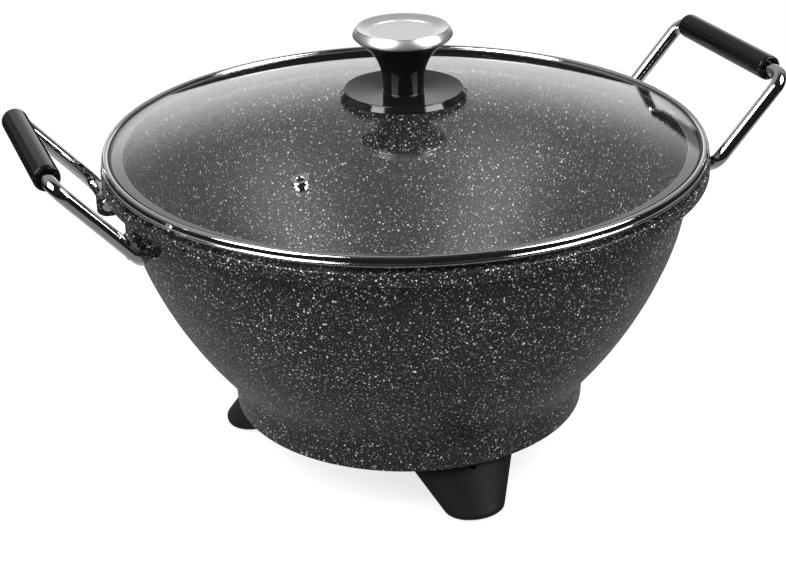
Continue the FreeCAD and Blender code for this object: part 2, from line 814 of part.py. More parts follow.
def draw_leg_ends(top, foot):
    """The leg's oval top and its round foot, split at matching points."""
    deep = D.leg_half_depth
    end = D.leg_end_radius
    end_reach = D.leg_half_width - end
    side = (end_reach * end_reach + deep * deep - end * end) / ((deep - end) * 2)
    side_reach = side - deep
    away = side - end
    corner_x = side_reach * end / away
    corner_y = end_reach * side / away
    draw_four_arcs(top, LEG_PLACE, corner_x, corner_y, side, end)
    share = D.foot_radius / away
    draw_four_arcs(foot, FOOT_PLACE, side_reach * share, end_reach * share,
                   D.foot_radius, D.foot_radius)


def make_leg(name, angle):
    """A splayed leg: an oval top that tapers to a round foot, with a vent slot and a screw bore."""
    body = new_body("leg_" + name)
    top = new_sketch(body, "LegTop_" + name, "XY_Plane", PLATE_BOTTOM)
    foot = new_sketch(body, "LegFoot_" + name, "XY_Plane", D.pad_proud)
    draw_leg_ends(top, foot)
    loft = add_feature(body, "AdditiveLoft", top)
    loft.Sections = [foot]
    loft.Ruled = True
    proud = D.pad_proud.number
    round_edges(body, D.foot_round, lambda edge: abs(edge.BoundBox.ZMax - proud) < 0.01)
    recess = new_sketch(body, "PadRecess_" + name, "XY_Plane", D.pad_proud)
    draw_circle(recess, FOOT_PLACE, 0, D.pad_radius + D.pad_fit)
    extrude(body, recess, D.pad_height - D.pad_proud, cut=True, backward=True)
    seat = PLATE_BOTTOM - D.screw_grip
    well = new_sketch(body, "ScrewWell_" + name, "XY_Plane", seat)
    draw_circle(well, LEG_PLACE, 0, D.screw_head_radius + D.head_fit)
    extrude(body, well, seat, cut=True)
    bore = new_sketch(body, "ScrewBore_" + name, "XY_Plane", PLATE_BOTTOM)
    draw_circle(bore, LEG_PLACE, 0, D.screw_radius + D.screw_fit)
    extrude(body, bore, D.screw_grip, cut=True)
    half = D.slot_width / 2
    low = PLATE_BOTTOM - D.slot_height
    face = LEG_PLACE + D.leg_half_depth
    slot = new_sketch(body, "Slot_" + name, "YZ_Plane", face - D.slot_depth)
    draw(slot, [
        (-half, low + half),
        (0, low, half),
        (half, low + half, half),
        (half, PLATE_BOTTOM + half),
        (-half, PLATE_BOTTOM + half),
    ])
    extrude(body, slot, D.foot_radius, cut=True, backward=True)
    body.setExpression("Placement", placement(0, 0, 0, (0, 0, 1), angle))


def make_foot_pad(name, angle):
    """A rubber pad let into the foot."""
    body = new_body("foot_pad_" + name)
    sketch = new_sketch(body, "Pad_" + name, "XZ_Plane")
    draw(sketch, [
        (0, 0),
        (D.pad_radius - D.pad_round, 0),
        (D.pad_radius, D.pad_round, D.pad_round),
        (D.pad_radius, D.pad_height),
        (0, D.pad_height),
    ])
    turn(body, sketch)
    x, y = leg_spot(FOOT_PLACE, angle)
    body.setExpression("Placement", placement(x, y, 0, (0, 0, 1), angle))


def handle_lean(side):
    """The turn about Y that tilts an upright handle outwards to its place."""
    return (sized(90) - D.handle_tilt) * side


def make_handle_rod(name, side):
    """A round rod bent into a handle: its ends turn inwards along the pivot line."""
    body = new_body("handle_rod_" + name)
    route = new_sketch(body, "RodRoute_" + name, "YZ_Plane")
    bend = D.elbow_radius
    spread = D.arm_spread
    top = D.arm_length
    draw(route, [
        (ROD_TIP, 0),
        (spread - bend, 0),
        (spread, bend, bend),
        (spread, top - bend),
        (spread - bend, top, bend),
        (bend - spread, top),
        (-spread, top - bend, bend),
        (-spread, bend),
        (bend - spread, 0, bend),
        (-ROD_TIP, 0),
    ], closed=False)
    section = new_sketch(body, "RodSection_" + name, "XZ_Plane", ROD_TIP)
    draw_circle(section, 0, 0, D.rod_radius)
    pipe = add_feature(body, "AdditivePipe", section)
    pipe.Spine = (route, [])
    tip = ROD_TIP.number
    round_edges(body, D.rod_tip_round, lambda edge: abs(edge.CenterOfMass.y) < tip + 0.01)
    spot = placement(PIVOT_REACH * side, 0, PIVOT_HEIGHT, (0, 1, 0), handle_lean(side))
    body.setExpression("Placement", spot)


def make_handle_grip(name, side):
    """A round grip moulded on the handle's bar, with its end faces let in round the rod."""
    body = new_body("handle_grip_" + name)
    sketch = new_sketch(body, "Grip_" + name, "XY_Plane")
    half = GRIP_HALF
    bore = D.rod_radius + D.grip_fit
    recess = half - D.grip_recess
    rim = D.grip_radius - D.grip_wall
    draw(sketch, [
        (bore, -recess),
        (rim, -recess),
        (rim, -half),
        (D.grip_radius - D.grip_round, -half),
        (D.grip_radius, D.grip_round - half, D.grip_round),
        (D.grip_radius, half - D.grip_round),
        (D.grip_radius - D.grip_round, half, D.grip_round),
        (rim, half),
        (rim, recess),
        (bore, recess),
    ])
    turn(body, sketch)
    lean = handle_lean(side)
    slip = GRIP_SLIP if side > 0 else sized(0)
    x = PIVOT_REACH * side + D.arm_length * sine(lean)
    z = PIVOT_HEIGHT + D.arm_length * cosine(lean)
    body.setExpression("Placement", placement(x, slip, z, (0, 1, 0), lean))


def dome(radius, reach):
    """Height of a dome surface of this radius at a distance from the lid's axis."""
    return DOME_CENTRE + leg_of(radius, reach)


def vent_spot():
    """Where the vent stands on the dome, square to the glass."""
    reach = D.vent_place
    x, y = leg_spot(reach, D.vent_angle)
    slope = reach / D.dome_radius
    angle = Size("asin(%s)" % slope.formula, math.degrees(math.asin(slope.number)))
    axis = (-sine(D.vent_angle), cosine(D.vent_angle), 0)
    return placement(x, y, dome(D.dome_radius, reach), axis, angle)


def make_lid_glass():
    """The glass dome, with its holes for the knob's screw and the vent."""
    body = new_body("lid_glass")
    sketch = new_sketch(body, "GlassSection", "XZ_Plane")
    hole = D.knob_screw_radius + D.glass_hole_gap
    edge = GLASS_RADIUS
    draw(sketch, [
        (hole, dome(GLASS_INSIDE, hole)),
        (edge, dome(GLASS_INSIDE, edge), -GLASS_INSIDE),
        (edge, dome(D.dome_radius, edge)),
        (hole, dome(D.dome_radius, hole), D.dome_radius),
    ])
    turn(body, sketch)
    vent = new_sketch(body, "VentHole", "XY_Plane")
    vent.setExpression("AttachmentOffset.Base.z", None)
    vent.setExpression("AttachmentOffset", vent_spot())
    draw_circle(vent, 0, 0, D.vent_barrel + D.vent_fit)
    extrude(body, vent, (D.glass_wall + D.vent_height) * 2, cut=True, both=True)


def make_lid_rim():
    """The rolled steel rim: top roll, wall, bottom bead, inner flange and locating skirt."""
    body = new_body("lid_rim")
    sketch = new_sketch(body, "RimSection", "XZ_Plane")
    outer = LID_RADIUS
    sheet = D.lid_sheet
    skirt = MOUTH_RADIUS - D.lid_skirt_gap
    skirt_inside = skirt - D.lid_skirt_sheet
    roll = D.lid_roll
    roll_inside = roll - sheet
    crest = outer - roll
    spring = LID_SEAT + D.lid_wall
    draw(sketch, [
        (skirt_inside, LID_SEAT - D.lid_skirt_drop),
        (skirt, LID_SEAT - D.lid_skirt_drop),
        (skirt, LID_SEAT),
        (outer, LID_SEAT),
        (outer, LID_SEAT + D.bead_height, D.bead_radius),
        (outer, spring),
        (crest, spring + roll, roll),
        (crest - roll, spring, roll),
        (crest - roll_inside, spring),
        (crest, spring + roll_inside, -roll_inside),
        (crest + roll_inside, spring, -roll_inside),
        (crest + roll_inside, LID_SEAT + sheet),
        (skirt_inside, LID_SEAT + sheet),
    ])
    turn(body, sketch)


def make_lid_gasket():
    """The silicone ring that holds the glass in its rim; a thin lip shows above the glass."""
    body = new_body("lid_gasket")
    sketch = new_sketch(body, "GasketSection", "XZ_Plane")
    outer = LID_RADIUS - D.lid_sheet
    roll_inside = D.lid_roll - D.lid_sheet
    crest = LID_RADIUS - D.lid_roll
    spring = LID_SEAT + D.lid_wall
    floor = LID_SEAT + D.lid_sheet
    edge = GLASS_RADIUS
    reach = edge - D.gasket_reach
    lip_top = spring + D.gasket_lip
    draw(sketch, [
        (reach, floor),
        (outer, floor),
        (outer, spring),
        (crest, spring + roll_inside, roll_inside),
        (crest - roll_inside, spring, roll_inside),
        (crest - D.lid_roll, spring),
        (edge, lip_top),
        (edge, dome(GLASS_INSIDE, edge)),
        (reach, dome(GLASS_INSIDE, reach)),
    ])
    turn(body, sketch)


def make_vent_ferrule():
    """The eyelet of the steam vent: a curled collar above the glass and a flared end below."""
    body = new_body("vent_ferrule")
    sketch = new_sketch(body, "FerruleSection", "XZ_Plane")
    below = -(D.glass_wall + D.vent_seat + D.vent_curl)
    curl = D.vent_curl
    top = D.vent_height
    draw(sketch, [
        (D.vent_bore, below),
        (D.vent_flange - curl, below),
        (D.vent_flange, below + curl, curl),
        (D.vent_barrel, below + curl),
        (D.vent_barrel, D.vent_seat),
        (D.vent_flange, D.vent_seat),
        (D.vent_flange, top - curl),
        (D.vent_flange - curl, top, curl),
        (D.vent_bore + curl, top),
        (D.vent_bore, top - curl, curl),
    ])
    turn(body, sketch)
    body.setExpression("Placement", vent_spot())


def make_knob_body():
    """The moulded knob: a flange over the glass, a waisted stem and a head under the cap."""
    body = new_body("knob_body")
    sketch = new_sketch(body, "KnobSection", "XZ_Plane")
    lip_bottom = KNOB_BASE - D.knob_lip
    flange = D.knob_radius - D.knob_flange_draw
    flange_top = lip_bottom + D.knob_flange_height
    dish = flange_top - D.knob_dish
    waist = D.knob_waist
    waist_z = lip_bottom + D.knob_waist_height
    neck_z = lip_bottom + D.knob_neck_height
    flare_x = D.knob_neck - waist
    flare_z = neck_z - waist_z
    flare = (flare_x * flare_x + flare_z * flare_z) / (flare_x * 2)
    shrink = D.cap_sheet + D.cap_fit
    widest_z = neck_z + D.cap_lower
    crease_z = widest_z + D.cap_upper
    crest_z = crease_z + D.cap_crown
    recess_z = crest_z - D.cap_dish_depth
    draw(sketch, [
        (D.insert_radius, KNOB_BASE),
        (D.knob_radius - D.knob_lip_width, KNOB_BASE),
        (D.knob_radius - D.knob_lip_width, lip_bottom),
        (D.knob_radius - D.knob_edge, lip_bottom),
        (D.knob_radius, lip_bottom + D.knob_edge, D.knob_edge),
        (flange + D.knob_edge / 2, flange_top - D.knob_edge),
        (flange - D.knob_edge / 2, flange_top, D.knob_edge),
        (waist + D.knob_fillet, dish),
        (waist, dish + D.knob_fillet, -D.knob_fillet),
        (waist, waist_z),
        (D.knob_neck, neck_z, -flare),
        (D.knob_neck, neck_z + D.cap_sheet),
        (CAP_RADIUS - shrink, widest_z),
        (CAP_RADIUS - D.cap_bevel - shrink, crease_z - shrink),
        (CAP_CREST, crest_z - shrink),
        (CAP_DISH, recess_z - shrink),
        (0, recess_z - shrink),
        (0, KNOB_BASE + D.insert_length),
        (D.insert_radius, KNOB_BASE + D.insert_length),
    ])
    turn(body, sketch)


def make_knob_cap():
    """The spun steel cap over the knob's head, with a dished bare top."""
    body = new_body("knob_cap")
    sketch = new_sketch(body, "CapSection", "XZ_Plane")
    neck_z = KNOB_BASE - D.knob_lip + D.knob_neck_height
    widest_z = neck_z + D.cap_lower
    crease_z = widest_z + D.cap_upper
    crest_z = crease_z + D.cap_crown
    recess_z = crest_z - D.cap_dish_depth
    edge_z = neck_z + D.cap_sheet
    sheet = D.cap_sheet
    edge = CAP_RADIUS - D.cap_edge
    crease = CAP_RADIUS - D.cap_bevel
    draw(sketch, [
        (edge, edge_z),
        (CAP_RADIUS, widest_z, D.cap_lower),
        (crease, crease_z, D.cap_upper_bend),
        (CAP_CREST, crest_z, D.cap_crown_bend),
        (CAP_DISH, recess_z, D.cap_slope_bend),
        (0, recess_z),
        (0, recess_z - sheet),
        (CAP_DISH, recess_z - sheet),
        (CAP_CREST, crest_z - sheet),
        (crease - sheet, crease_z - sheet),
        (CAP_RADIUS - sheet, widest_z),
        (D.knob_neck + D.cap_fit, edge_z),
    ])
    turn(body, sketch)


def make_knob_seal():
    """The silicone disc between the knob and the dome."""
    body = new_body("knob_seal")
    sketch = new_sketch(body, "SealSection", "XZ_Plane")
    hole = D.knob_screw_radius + D.seal_fit
    edge = D.knob_radius - D.knob_lip_width - D.seal_fit
    draw(sketch, [
        (hole, dome(D.dome_radius, hole)),
        (edge, dome(D.dome_radius, edge), -D.dome_radius),
        (edge, KNOB_BASE),
        (hole, KNOB_BASE),
    ])
    turn(body, sketch)


def make_knob_insert():
    """The threaded brass insert in the knob's stem."""
    body = new_body("knob_insert")
    sketch = new_sketch(body, "InsertSection", "XZ_Plane", 0)
    bore = D.knob_screw_radius + D.insert_fit
    outer = D.insert_radius - D.insert_fit
    draw_box(sketch, bore, outer, KNOB_BASE, KNOB_BASE + D.insert_length)
    turn(body, sketch)


def make_knob_screw():
    """The screw that holds the knob from inside the lid."""
    body = new_body("knob_screw")
    sketch = new_sketch(body, "KnobScrewSection", "XZ_Plane")
    seat = WASHER_TOP - D.washer_sheet
    crown = D.knob_screw_head_height / 2
    head_bottom = seat - D.knob_screw_head_height
    draw(sketch, [
        (0, head_bottom),
        (D.knob_screw_head - crown, head_bottom),
        (D.knob_screw_head, head_bottom + crown, crown),
        (D.knob_screw_head, seat),
        (D.knob_screw_radius, seat),
        (D.knob_screw_radius, KNOB_BASE + D.insert_length - D.head_fit),
        (0, KNOB_BASE + D.insert_length - D.head_fit),
    ])
    turn(body, sketch)


def make_knob_washer():
    """The washer under the screw's head; its edge seats in the dome."""
    body = new_body("knob_washer")
    sketch = new_sketch(body, "WasherSection", "XZ_Plane")
    bore = D.knob_screw_radius + D.screw_fit
    draw_box(sketch, bore, D.washer_radius, WASHER_TOP - D.washer_sheet, WASHER_TOP)
    turn(body, sketch)


def make_base():
    """The legs, pads and screws under the pan, and the inlet at the back."""
    make_element()
    make_probe_sleeve()
    make_inlet_guard()
    make_base_plate()
    for (name, side), (x, y) in zip(ENDS.items(), tab_spots()):
        make_terminal_pin(name, side)
        make_screw("inlet_screw_" + name, x, y, INLET_TAB, D.inlet_sheet, D.screw_bite)
    for name, angle in LEGS.items():
        make_leg(name, angle)
        make_foot_pad(name, angle)
        x, y = leg_spot(LEG_PLACE, angle)
        grip = D.screw_grip + D.plate_sheet
        make_screw("leg_screw_" + name, x, y, PLATE_BOTTOM - D.screw_grip, grip, D.screw_bite)


def make_lid():
    """The lid and everything fixed to it."""
    make_lid_glass()
    make_lid_rim()
    make_lid_gasket()
    make_vent_ferrule()
    make_knob_body()
    make_knob_cap()
    make_knob_seal()
    make_knob_insert()
    make_knob_screw()
    make_knob_washer()


def check_model():
    """Stops where a feature failed, a cut removed nothing or a body has no valid solid."""
    for item in DOCUMENT.Objects:
        if "Invalid" in item.State or "Error" in item.State:
            raise RuntimeError("%s failed: %s" % (item.Label, item.State))
        if item.TypeId in ("PartDesign::Pocket", "PartDesign::Groove", "PartDesign::SubtractivePipe"):
            if item.Shape.Volume >= item.BaseFeature.Shape.Volume:
                raise RuntimeError("%s cuts nothing" % item.Label)
    for body in bodies():
        if body.Shape.isNull() or not body.Shape.isValid() or len(body.Shape.Solids) != 1:
            raise RuntimeError("%s is not one valid solid" % body.Label)


def bodies():
    """Every sub-part's body."""
    return [item for item in DOCUMENT.Objects if item.TypeId == "PartDesign::Body"]


def export():
    """Writes each body to its own file."""
    os.makedirs("parts", exist_ok=True)
    for body in bodies():
        body.Shape.exportStep("parts/%s.step" % body.Label)


make_pan()
make_base()
for side_name, side_sign in ENDS.items():
    make_handle_rod(side_name, side_sign)
    make_handle_grip(side_name, side_sign)
make_lid()
DOCUMENT.recompute()
check_model()
export()
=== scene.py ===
import logging
import math
from dataclasses import dataclass, field
from enum import Enum

import bmesh
import bpy
from mathutils import Matrix, Vector


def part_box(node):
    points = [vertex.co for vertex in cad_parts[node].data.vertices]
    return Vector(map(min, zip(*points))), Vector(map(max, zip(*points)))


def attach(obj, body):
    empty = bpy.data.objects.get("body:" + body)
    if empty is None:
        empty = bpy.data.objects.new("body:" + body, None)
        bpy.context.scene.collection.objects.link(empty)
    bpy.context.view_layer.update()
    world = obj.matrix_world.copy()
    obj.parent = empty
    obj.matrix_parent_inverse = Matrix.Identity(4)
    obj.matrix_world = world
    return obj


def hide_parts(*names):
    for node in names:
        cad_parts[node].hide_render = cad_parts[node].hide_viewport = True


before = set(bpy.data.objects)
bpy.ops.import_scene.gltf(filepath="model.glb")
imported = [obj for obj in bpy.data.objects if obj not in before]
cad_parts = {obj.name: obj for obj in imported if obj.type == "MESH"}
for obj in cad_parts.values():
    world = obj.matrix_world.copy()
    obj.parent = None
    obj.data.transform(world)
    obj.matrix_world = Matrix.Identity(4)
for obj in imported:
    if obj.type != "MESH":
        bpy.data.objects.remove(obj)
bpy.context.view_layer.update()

MM = 0.001
WHITE = (1.0, 1.0, 1.0, 1.0)

# Degrees from one point of an arc to the next, and metres within which points are merged.
ARC_STEP = 11.0
MERGE = 1e-7

# Degrees from which an edge stays sharp, on a CAD piece and on a turned one.
CAD_SHARP = 30.0
TURNED_SHARP = 32.0

# Between the low and the high value lies nearly all of a noise texture.
NOISE_LOW = 0.3
NOISE_MIDDLE = 0.5
NOISE_HIGH = 0.7

# Octaves of a coarse and of a fine noise, and how strong the finer ones are in a crisp noise.
COARSE = 2.0
FINE = 3.0
CRISP = 0.6

# A light path's count above this is at least one.
ANY = 0.5

LOG = logging.getLogger("wok")


class Body(Enum):
    """The moving bodies of the wok."""

    LEFT_HANDLE = "left_handle"
    RIGHT_HANDLE = "right_handle"
    LID = "lid"


class Side(Enum):
    """The two handle sides, as the nodes spell them."""

    LEFT = "left"
    RIGHT = "right"

    @property
    def body(self) -> Body:
        """The body of this side's handle."""
        return Body(self.value + "_handle")


class Leg(Enum):
    """The three legs, as the nodes spell them."""

    FRONT = "front"
    REAR_RIGHT = "rear_right"
    REAR_LEFT = "rear_left"


# ---------------------------------------------------------------- node helpers


class Nodes:
    """A material's or world's node tree, with short ways to add and link nodes."""

    def __init__(self, tree: bpy.types.NodeTree) -> None:
        """Starts an empty tree.

        Args:
            tree: the node tree to fill.
        """
        self.tree = tree
        tree.nodes.clear()

    def add(self, kind: str, inputs: dict | None = None, **settings: object) -> bpy.types.Node:
        """Adds a node.

        Args:
            kind: the node's type name without its ShaderNode prefix.
            inputs: socket name or number to a plain value or an output socket.
            settings: properties of the node itself.

        Returns:
            The new node.
        """
        node = self.tree.nodes.new("ShaderNode" + kind)
        for name, value in settings.items():
            setattr(node, name, value)
        for name, value in (inputs or {}).items():
            self.feed(node.inputs[name], value)
        return node

    def feed(self, socket: bpy.types.NodeSocket, value: object) -> None:
        """Links an output socket to an input, or sets the input's plain value.

        Args:
            socket: the input.
            value: an output socket or a plain value.
        """
        if isinstance(value, bpy.types.NodeSocket):
            self.tree.links.new(value, socket)
        else:
            socket.default_value = value

    def math(self, operation: str, first: object, second: object = 0.0, clamp: bool = False) -> object:
        """Adds a Math node.

        Args:
            operation: the node's operation.
            first: first value or socket.
            second: second value or socket.
            clamp: whether the result is kept between 0 and 1.

        Returns:
            The result's socket.
        """
        node = self.add("Math", {0: first, 1: second}, operation=operation, use_clamp=clamp)
        return node.outputs[0]

    def times(self, first: object, second: object) -> object:
        """The product of two values or sockets."""
        return self.math("MULTIPLY", first, second)

    def larger(self, first: object, second: object) -> object:
        """The larger of two values or sockets."""
        return self.math("MAXIMUM", first, second)

    def invert(self, value: object) -> object:
        """One minus the value."""
        return self.math("SUBTRACT", 1.0, value)

    def ramp(self, value: object, low: float, high: float, to_low: float = 0.0,
             to_high: float = 1.0) -> object:
        """Maps a value smoothly from one range to another.

        Args:
            value: the socket to map.
            low: value that gives to_low.
            high: value that gives to_high.
            to_low: result at low.
            to_high: result at high.

        Returns:
            The mapped socket.
        """
        inputs = {"Value": value, "From Min": low, "From Max": high, "To Min": to_low, "To Max": to_high}
        return self.add("MapRange", inputs, interpolation_type="SMOOTHSTEP").outputs["Result"]

    def mix_color(self, share: object, first: object, second: object) -> object:
        """Mixes two colours.

        Args:
            share: 0 for the first, 1 for the second.
            first: colour or socket.
            second: colour or socket.

        Returns:
            The mixed colour's socket.
        """
        node = self.add("Mix", {0: share}, data_type="RGBA")
        self.feed(next(item for item in node.inputs if item.identifier == "A_Color"), first)
        self.feed(next(item for item in node.inputs if item.identifier == "B_Color"), second)
        return next(item for item in node.outputs if item.identifier == "Result_Color")

    def noise(self, place: object, scale: float, detail: float = COARSE, rough: float = 0.5) -> object:
        """Adds a noise texture.

        Args:
            place: coordinate socket.
            scale: cells per metre.
            detail: octaves.
            rough: how strong the finer octaves are.

        Returns:
            The noise value's socket.
        """
        inputs = {"Vector": place, "Scale": scale, "Detail": detail, "Roughness": rough}
        return self.add("TexNoise", inputs).outputs[0]

    def drift(self, place: object, scale: float, detail: float = COARSE, low: float = 0.0,
              high: float = 1.0, rough: float = 0.5) -> object:
        """Adds a noise texture that wanders between two values.

        Args:
            place: coordinate socket.
            scale: cells per metre.
            detail: octaves.
            low: the least value.
            high: the largest value.
            rough: how strong the finer octaves are.

        Returns:
            The value's socket.
        """
        return self.ramp(self.noise(place, scale, detail, rough), NOISE_LOW, NOISE_HIGH, low, high)

    def bump(self, height: object, strength: float, distance: float, normal: object = None) -> object:
        """Adds a bump.

        Args:
            height: the height's socket.
            strength: how much of the bump shows.
            distance: the height's real size in metres.
            normal: a normal to build on.

        Returns:
            The bent normal's socket.
        """
        inputs = {"Height": height, "Strength": strength, "Distance": distance}
        if normal is not None:
            inputs["Normal"] = normal
        return self.add("Bump", inputs).outputs["Normal"]

    def place(self) -> object:
        """The object's own coordinates, in metres."""
        return self.add("TexCoord").outputs["Object"]

    def reach(self, place: object) -> object:
        """Adds the distance from the upright axis.

        Args:
            place: coordinate socket.

        Returns:
            The distance's socket.
        """
        flat = self.add("VectorMath", {0: place, 1: (1.0, 1.0, 0.0)}, operation="MULTIPLY").outputs[0]
        return self.add("VectorMath", {0: flat}, operation="LENGTH").outputs["Value"]

    def along(self, spot: object, toward: tuple) -> object:
        """Adds how far a place or direction lies along another direction.

        Args:
            spot: a place or a direction.
            toward: the direction to measure along.

        Returns:
            The measure's socket.
        """
        return self.add("VectorMath", {0: spot, 1: toward}, operation="DOT_PRODUCT").outputs["Value"]


def new_material(name: str) -> tuple[bpy.types.Material, Nodes]:
    """Makes a material with an empty tree.

    Args:
        name: the material's name.

    Returns:
        The material and its node helper.
    """
    material = bpy.data.materials.new(name)
    material.use_nodes = True
    return material, Nodes(material.node_tree)


def shaded(color: tuple, factor: float, lift: float = 0.0) -> tuple:
    """Darkens or brightens a colour.

    Args:
        color: the colour, with its opacity.
        factor: what each channel is multiplied by.
        lift: what is added to each channel then.

    Returns:
        The new colour, opaque.
    """
    return tuple(channel * factor + lift for channel in color[:3]) + (1.0,)


def finish_material(nodes: Nodes, shader: bpy.types.Node) -> None:
    """Links a shader to the material's output.

    Args:
        nodes: the material's nodes.
        shader: the node that ends the chain.
    """
    output = nodes.add("OutputMaterial")
    nodes.feed(output.inputs["Surface"], shader.outputs[0])


# -------------------------------------------------------------------- finishes


@dataclass(frozen=True)
class Fleck:
    """One size of pale fleck: its cell and radius in millimetres, the share of the cells that hold one,
    its least and greatest strength, and how cells are stretched."""

    cell: float
    radius: float
    share: float
    low: float
    high: float
    stretch: tuple = (1.0, 1.0, 1.0)


@dataclass(frozen=True)
class StoneCoating:
    """Dark non-stick coating with pale flecks of several sizes, dimmed as painted shade where it faces
    down and, partly, sideways.

    A relief is given by how much of it shows and by its real height, a range by its two ends.
    """

    name: str = "stone_coating"
    base: tuple = (0.003, 0.003, 0.0032, 1.0)
    patch: tuple = (0.0095, 0.0095, 0.0098, 1.0)
    fleck: tuple = (0.95, 0.95, 0.94, 1.0)
    # Share of fleck strength kept where the surface faces down: painted shade that dims the flecks on
    # the bowl's outside and underside.
    outside: float = 0.34
    facing_down: float = -0.05
    facing_up: float = 0.10
    roughness: float = 0.38
    smoother: float = 0.05
    rougher: float = 0.06
    gloss: float = 0.44
    smallest_dot: float = 0.70
    dot_edge: float = 0.30
    wobble_scale: float = 900.0
    wobble: float = 0.8 * MM
    crowd_scale: float = 28.0
    crowd_low: float = 0.60
    cloud_scale: float = 120.0
    cloud_low: float = 0.65
    pore_scale: float = 1250.0
    pore_range: tuple = (0.36, 0.64)
    grain_scale: float = 1300.0
    grain_range: tuple = (0.25, 0.75)
    wave_scale: float = 240.0
    grain_relief: tuple = (0.42, 0.3 * MM)
    wave_relief: tuple = (0.10, 0.4 * MM)
    fleck_relief: tuple = (0.12, 0.1 * MM)
    flecks: tuple = (
        Fleck(1.00, 0.30, 0.95, 0.10, 0.45),
        Fleck(1.55, 0.44, 0.85, 0.25, 0.85),
        Fleck(2.90, 0.64, 0.85, 0.70, 1.00),
        Fleck(12.0, 0.50, 0.50, 0.50, 1.00, (1.0, 1.0, 0.22)),
        Fleck(13.0, 0.50, 0.50, 0.50, 1.00, (0.22, 1.0, 1.0)),
    )

    def one_size(self, nodes: Nodes, place: object, fleck: Fleck) -> object:
        """Dots in random cells, each of its own size and brightness.

        Args:
            nodes: the material's nodes.
            place: coordinate socket.
            fleck: the size, share and strength of the dots.

        Returns:
            The mask's socket.
        """
        drawn = nodes.add("VectorMath", {0: place, 1: fleck.stretch}, operation="MULTIPLY").outputs[0]
        cells = nodes.add("TexVoronoi", {"Vector": drawn, "Scale": 1.0 / (fleck.cell * MM)})
        chance = nodes.add("SeparateColor", {"Color": cells.outputs["Color"]})
        radius = fleck.radius / fleck.cell
        reach = nodes.ramp(chance.outputs["Green"], 0.0, 1.0, radius * self.smallest_dot, radius)
        inside = nodes.math("SUBTRACT", reach, cells.outputs["Distance"])
        dot = nodes.ramp(inside, 0.0, radius * self.dot_edge)
        lucky = nodes.math("LESS_THAN", chance.outputs["Red"], fleck.share)
        bright = nodes.ramp(chance.outputs["Blue"], 0.0, 1.0, fleck.low, fleck.high)
        return nodes.times(nodes.times(dot, lucky), bright)

    def all_sizes(self, nodes: Nodes, place: object) -> object:
        """Flecks of every size, crowded in some spots, and dimmed as painted shade where the surface
        faces down.

        Args:
            nodes: the material's nodes.
            place: coordinate socket.

        Returns:
            The mask's socket.
        """
        wobble = nodes.add("TexNoise", {"Vector": place, "Scale": self.wobble_scale, "Detail": 1.0})
        bent = nodes.add("VectorMath", {0: wobble.outputs["Color"], 1: (NOISE_MIDDLE,) * 3},
                         operation="SUBTRACT").outputs[0]
        bent = nodes.add("VectorMath", {0: bent, 1: (self.wobble,) * 3, 2: place},
                         operation="MULTIPLY_ADD").outputs[0]
        flecks = self.one_size(nodes, bent, self.flecks[0])
        for fleck in self.flecks[1:]:
            flecks = nodes.larger(flecks, self.one_size(nodes, bent, fleck))
        crowd = nodes.drift(place, self.crowd_scale, FINE, self.crowd_low)
        # Painted shade: the flecks are dimmed where the normal points down, and partly where it points
        # sideways.
        facing = nodes.add("SeparateXYZ", {0: nodes.add("NewGeometry").outputs["Normal"]}).outputs["Z"]
        crowd = nodes.times(crowd, nodes.ramp(facing, self.facing_down, self.facing_up, self.outside))
        return nodes.times(flecks, crowd)

    def material(self) -> bpy.types.Material:
        """Builds the coating.

        Returns:
            The material.
        """
        material, nodes = new_material(self.name)
        place = nodes.place()
        flecks = self.all_sizes(nodes, place)
        cloud = nodes.drift(place, self.cloud_scale, FINE, self.cloud_low, rough=CRISP)
        pores = nodes.ramp(nodes.noise(place, self.pore_scale, COARSE, CRISP), *self.pore_range)
        ground = nodes.mix_color(nodes.times(cloud, pores), self.base, self.patch)
        color = nodes.mix_color(flecks, ground, self.fleck)
        grain = nodes.noise(place, self.grain_scale, FINE, CRISP)
        rough = nodes.ramp(grain, *self.grain_range, self.roughness - self.smoother,
                           self.roughness + self.rougher)
        waves = nodes.noise(place, self.wave_scale)
        normal = nodes.bump(grain, *self.grain_relief)
        normal = nodes.bump(waves, *self.wave_relief, normal)
        normal = nodes.bump(flecks, *self.fleck_relief, normal)
        shader = nodes.add("BsdfPrincipled", {
            "Base Color": color, "Roughness": rough, "Normal": normal, "Specular IOR Level": self.gloss,
        })
        finish_material(nodes, shader)
        return material


@dataclass(frozen=True)
class Metal:
    """A bare metal, from mirror-polished to satin, with fine wear in its gloss."""

    name: str
    color: tuple
    roughness: float
    spread: float = 0.03
    grain: float = 500.0
    relief: float = 0.02
    smoothest: float = 0.02
    tone_size: float = 8.0
    darker: float = 0.93
    depth: float = 0.1 * MM

    def material(self) -> bpy.types.Material:
        """Builds the metal.

        Returns:
            The material.
        """
        material, nodes = new_material(self.name)
        place = nodes.place()
        wear = nodes.noise(place, self.grain, FINE, CRISP)
        low = max(self.roughness - self.spread, self.smoothest)
        rough = nodes.ramp(wear, NOISE_LOW, NOISE_HIGH, low, self.roughness + self.spread)
        tone = nodes.drift(place, self.grain / self.tone_size)
        color = nodes.mix_color(tone, shaded(self.color, self.darker), self.color)
        normal = nodes.bump(wear, self.relief, self.depth)
        shader = nodes.add("BsdfPrincipled", {
            "Base Color": color, "Roughness": rough, "Normal": normal, "Metallic": 1.0,
        })
        finish_material(nodes, shader)
        return material


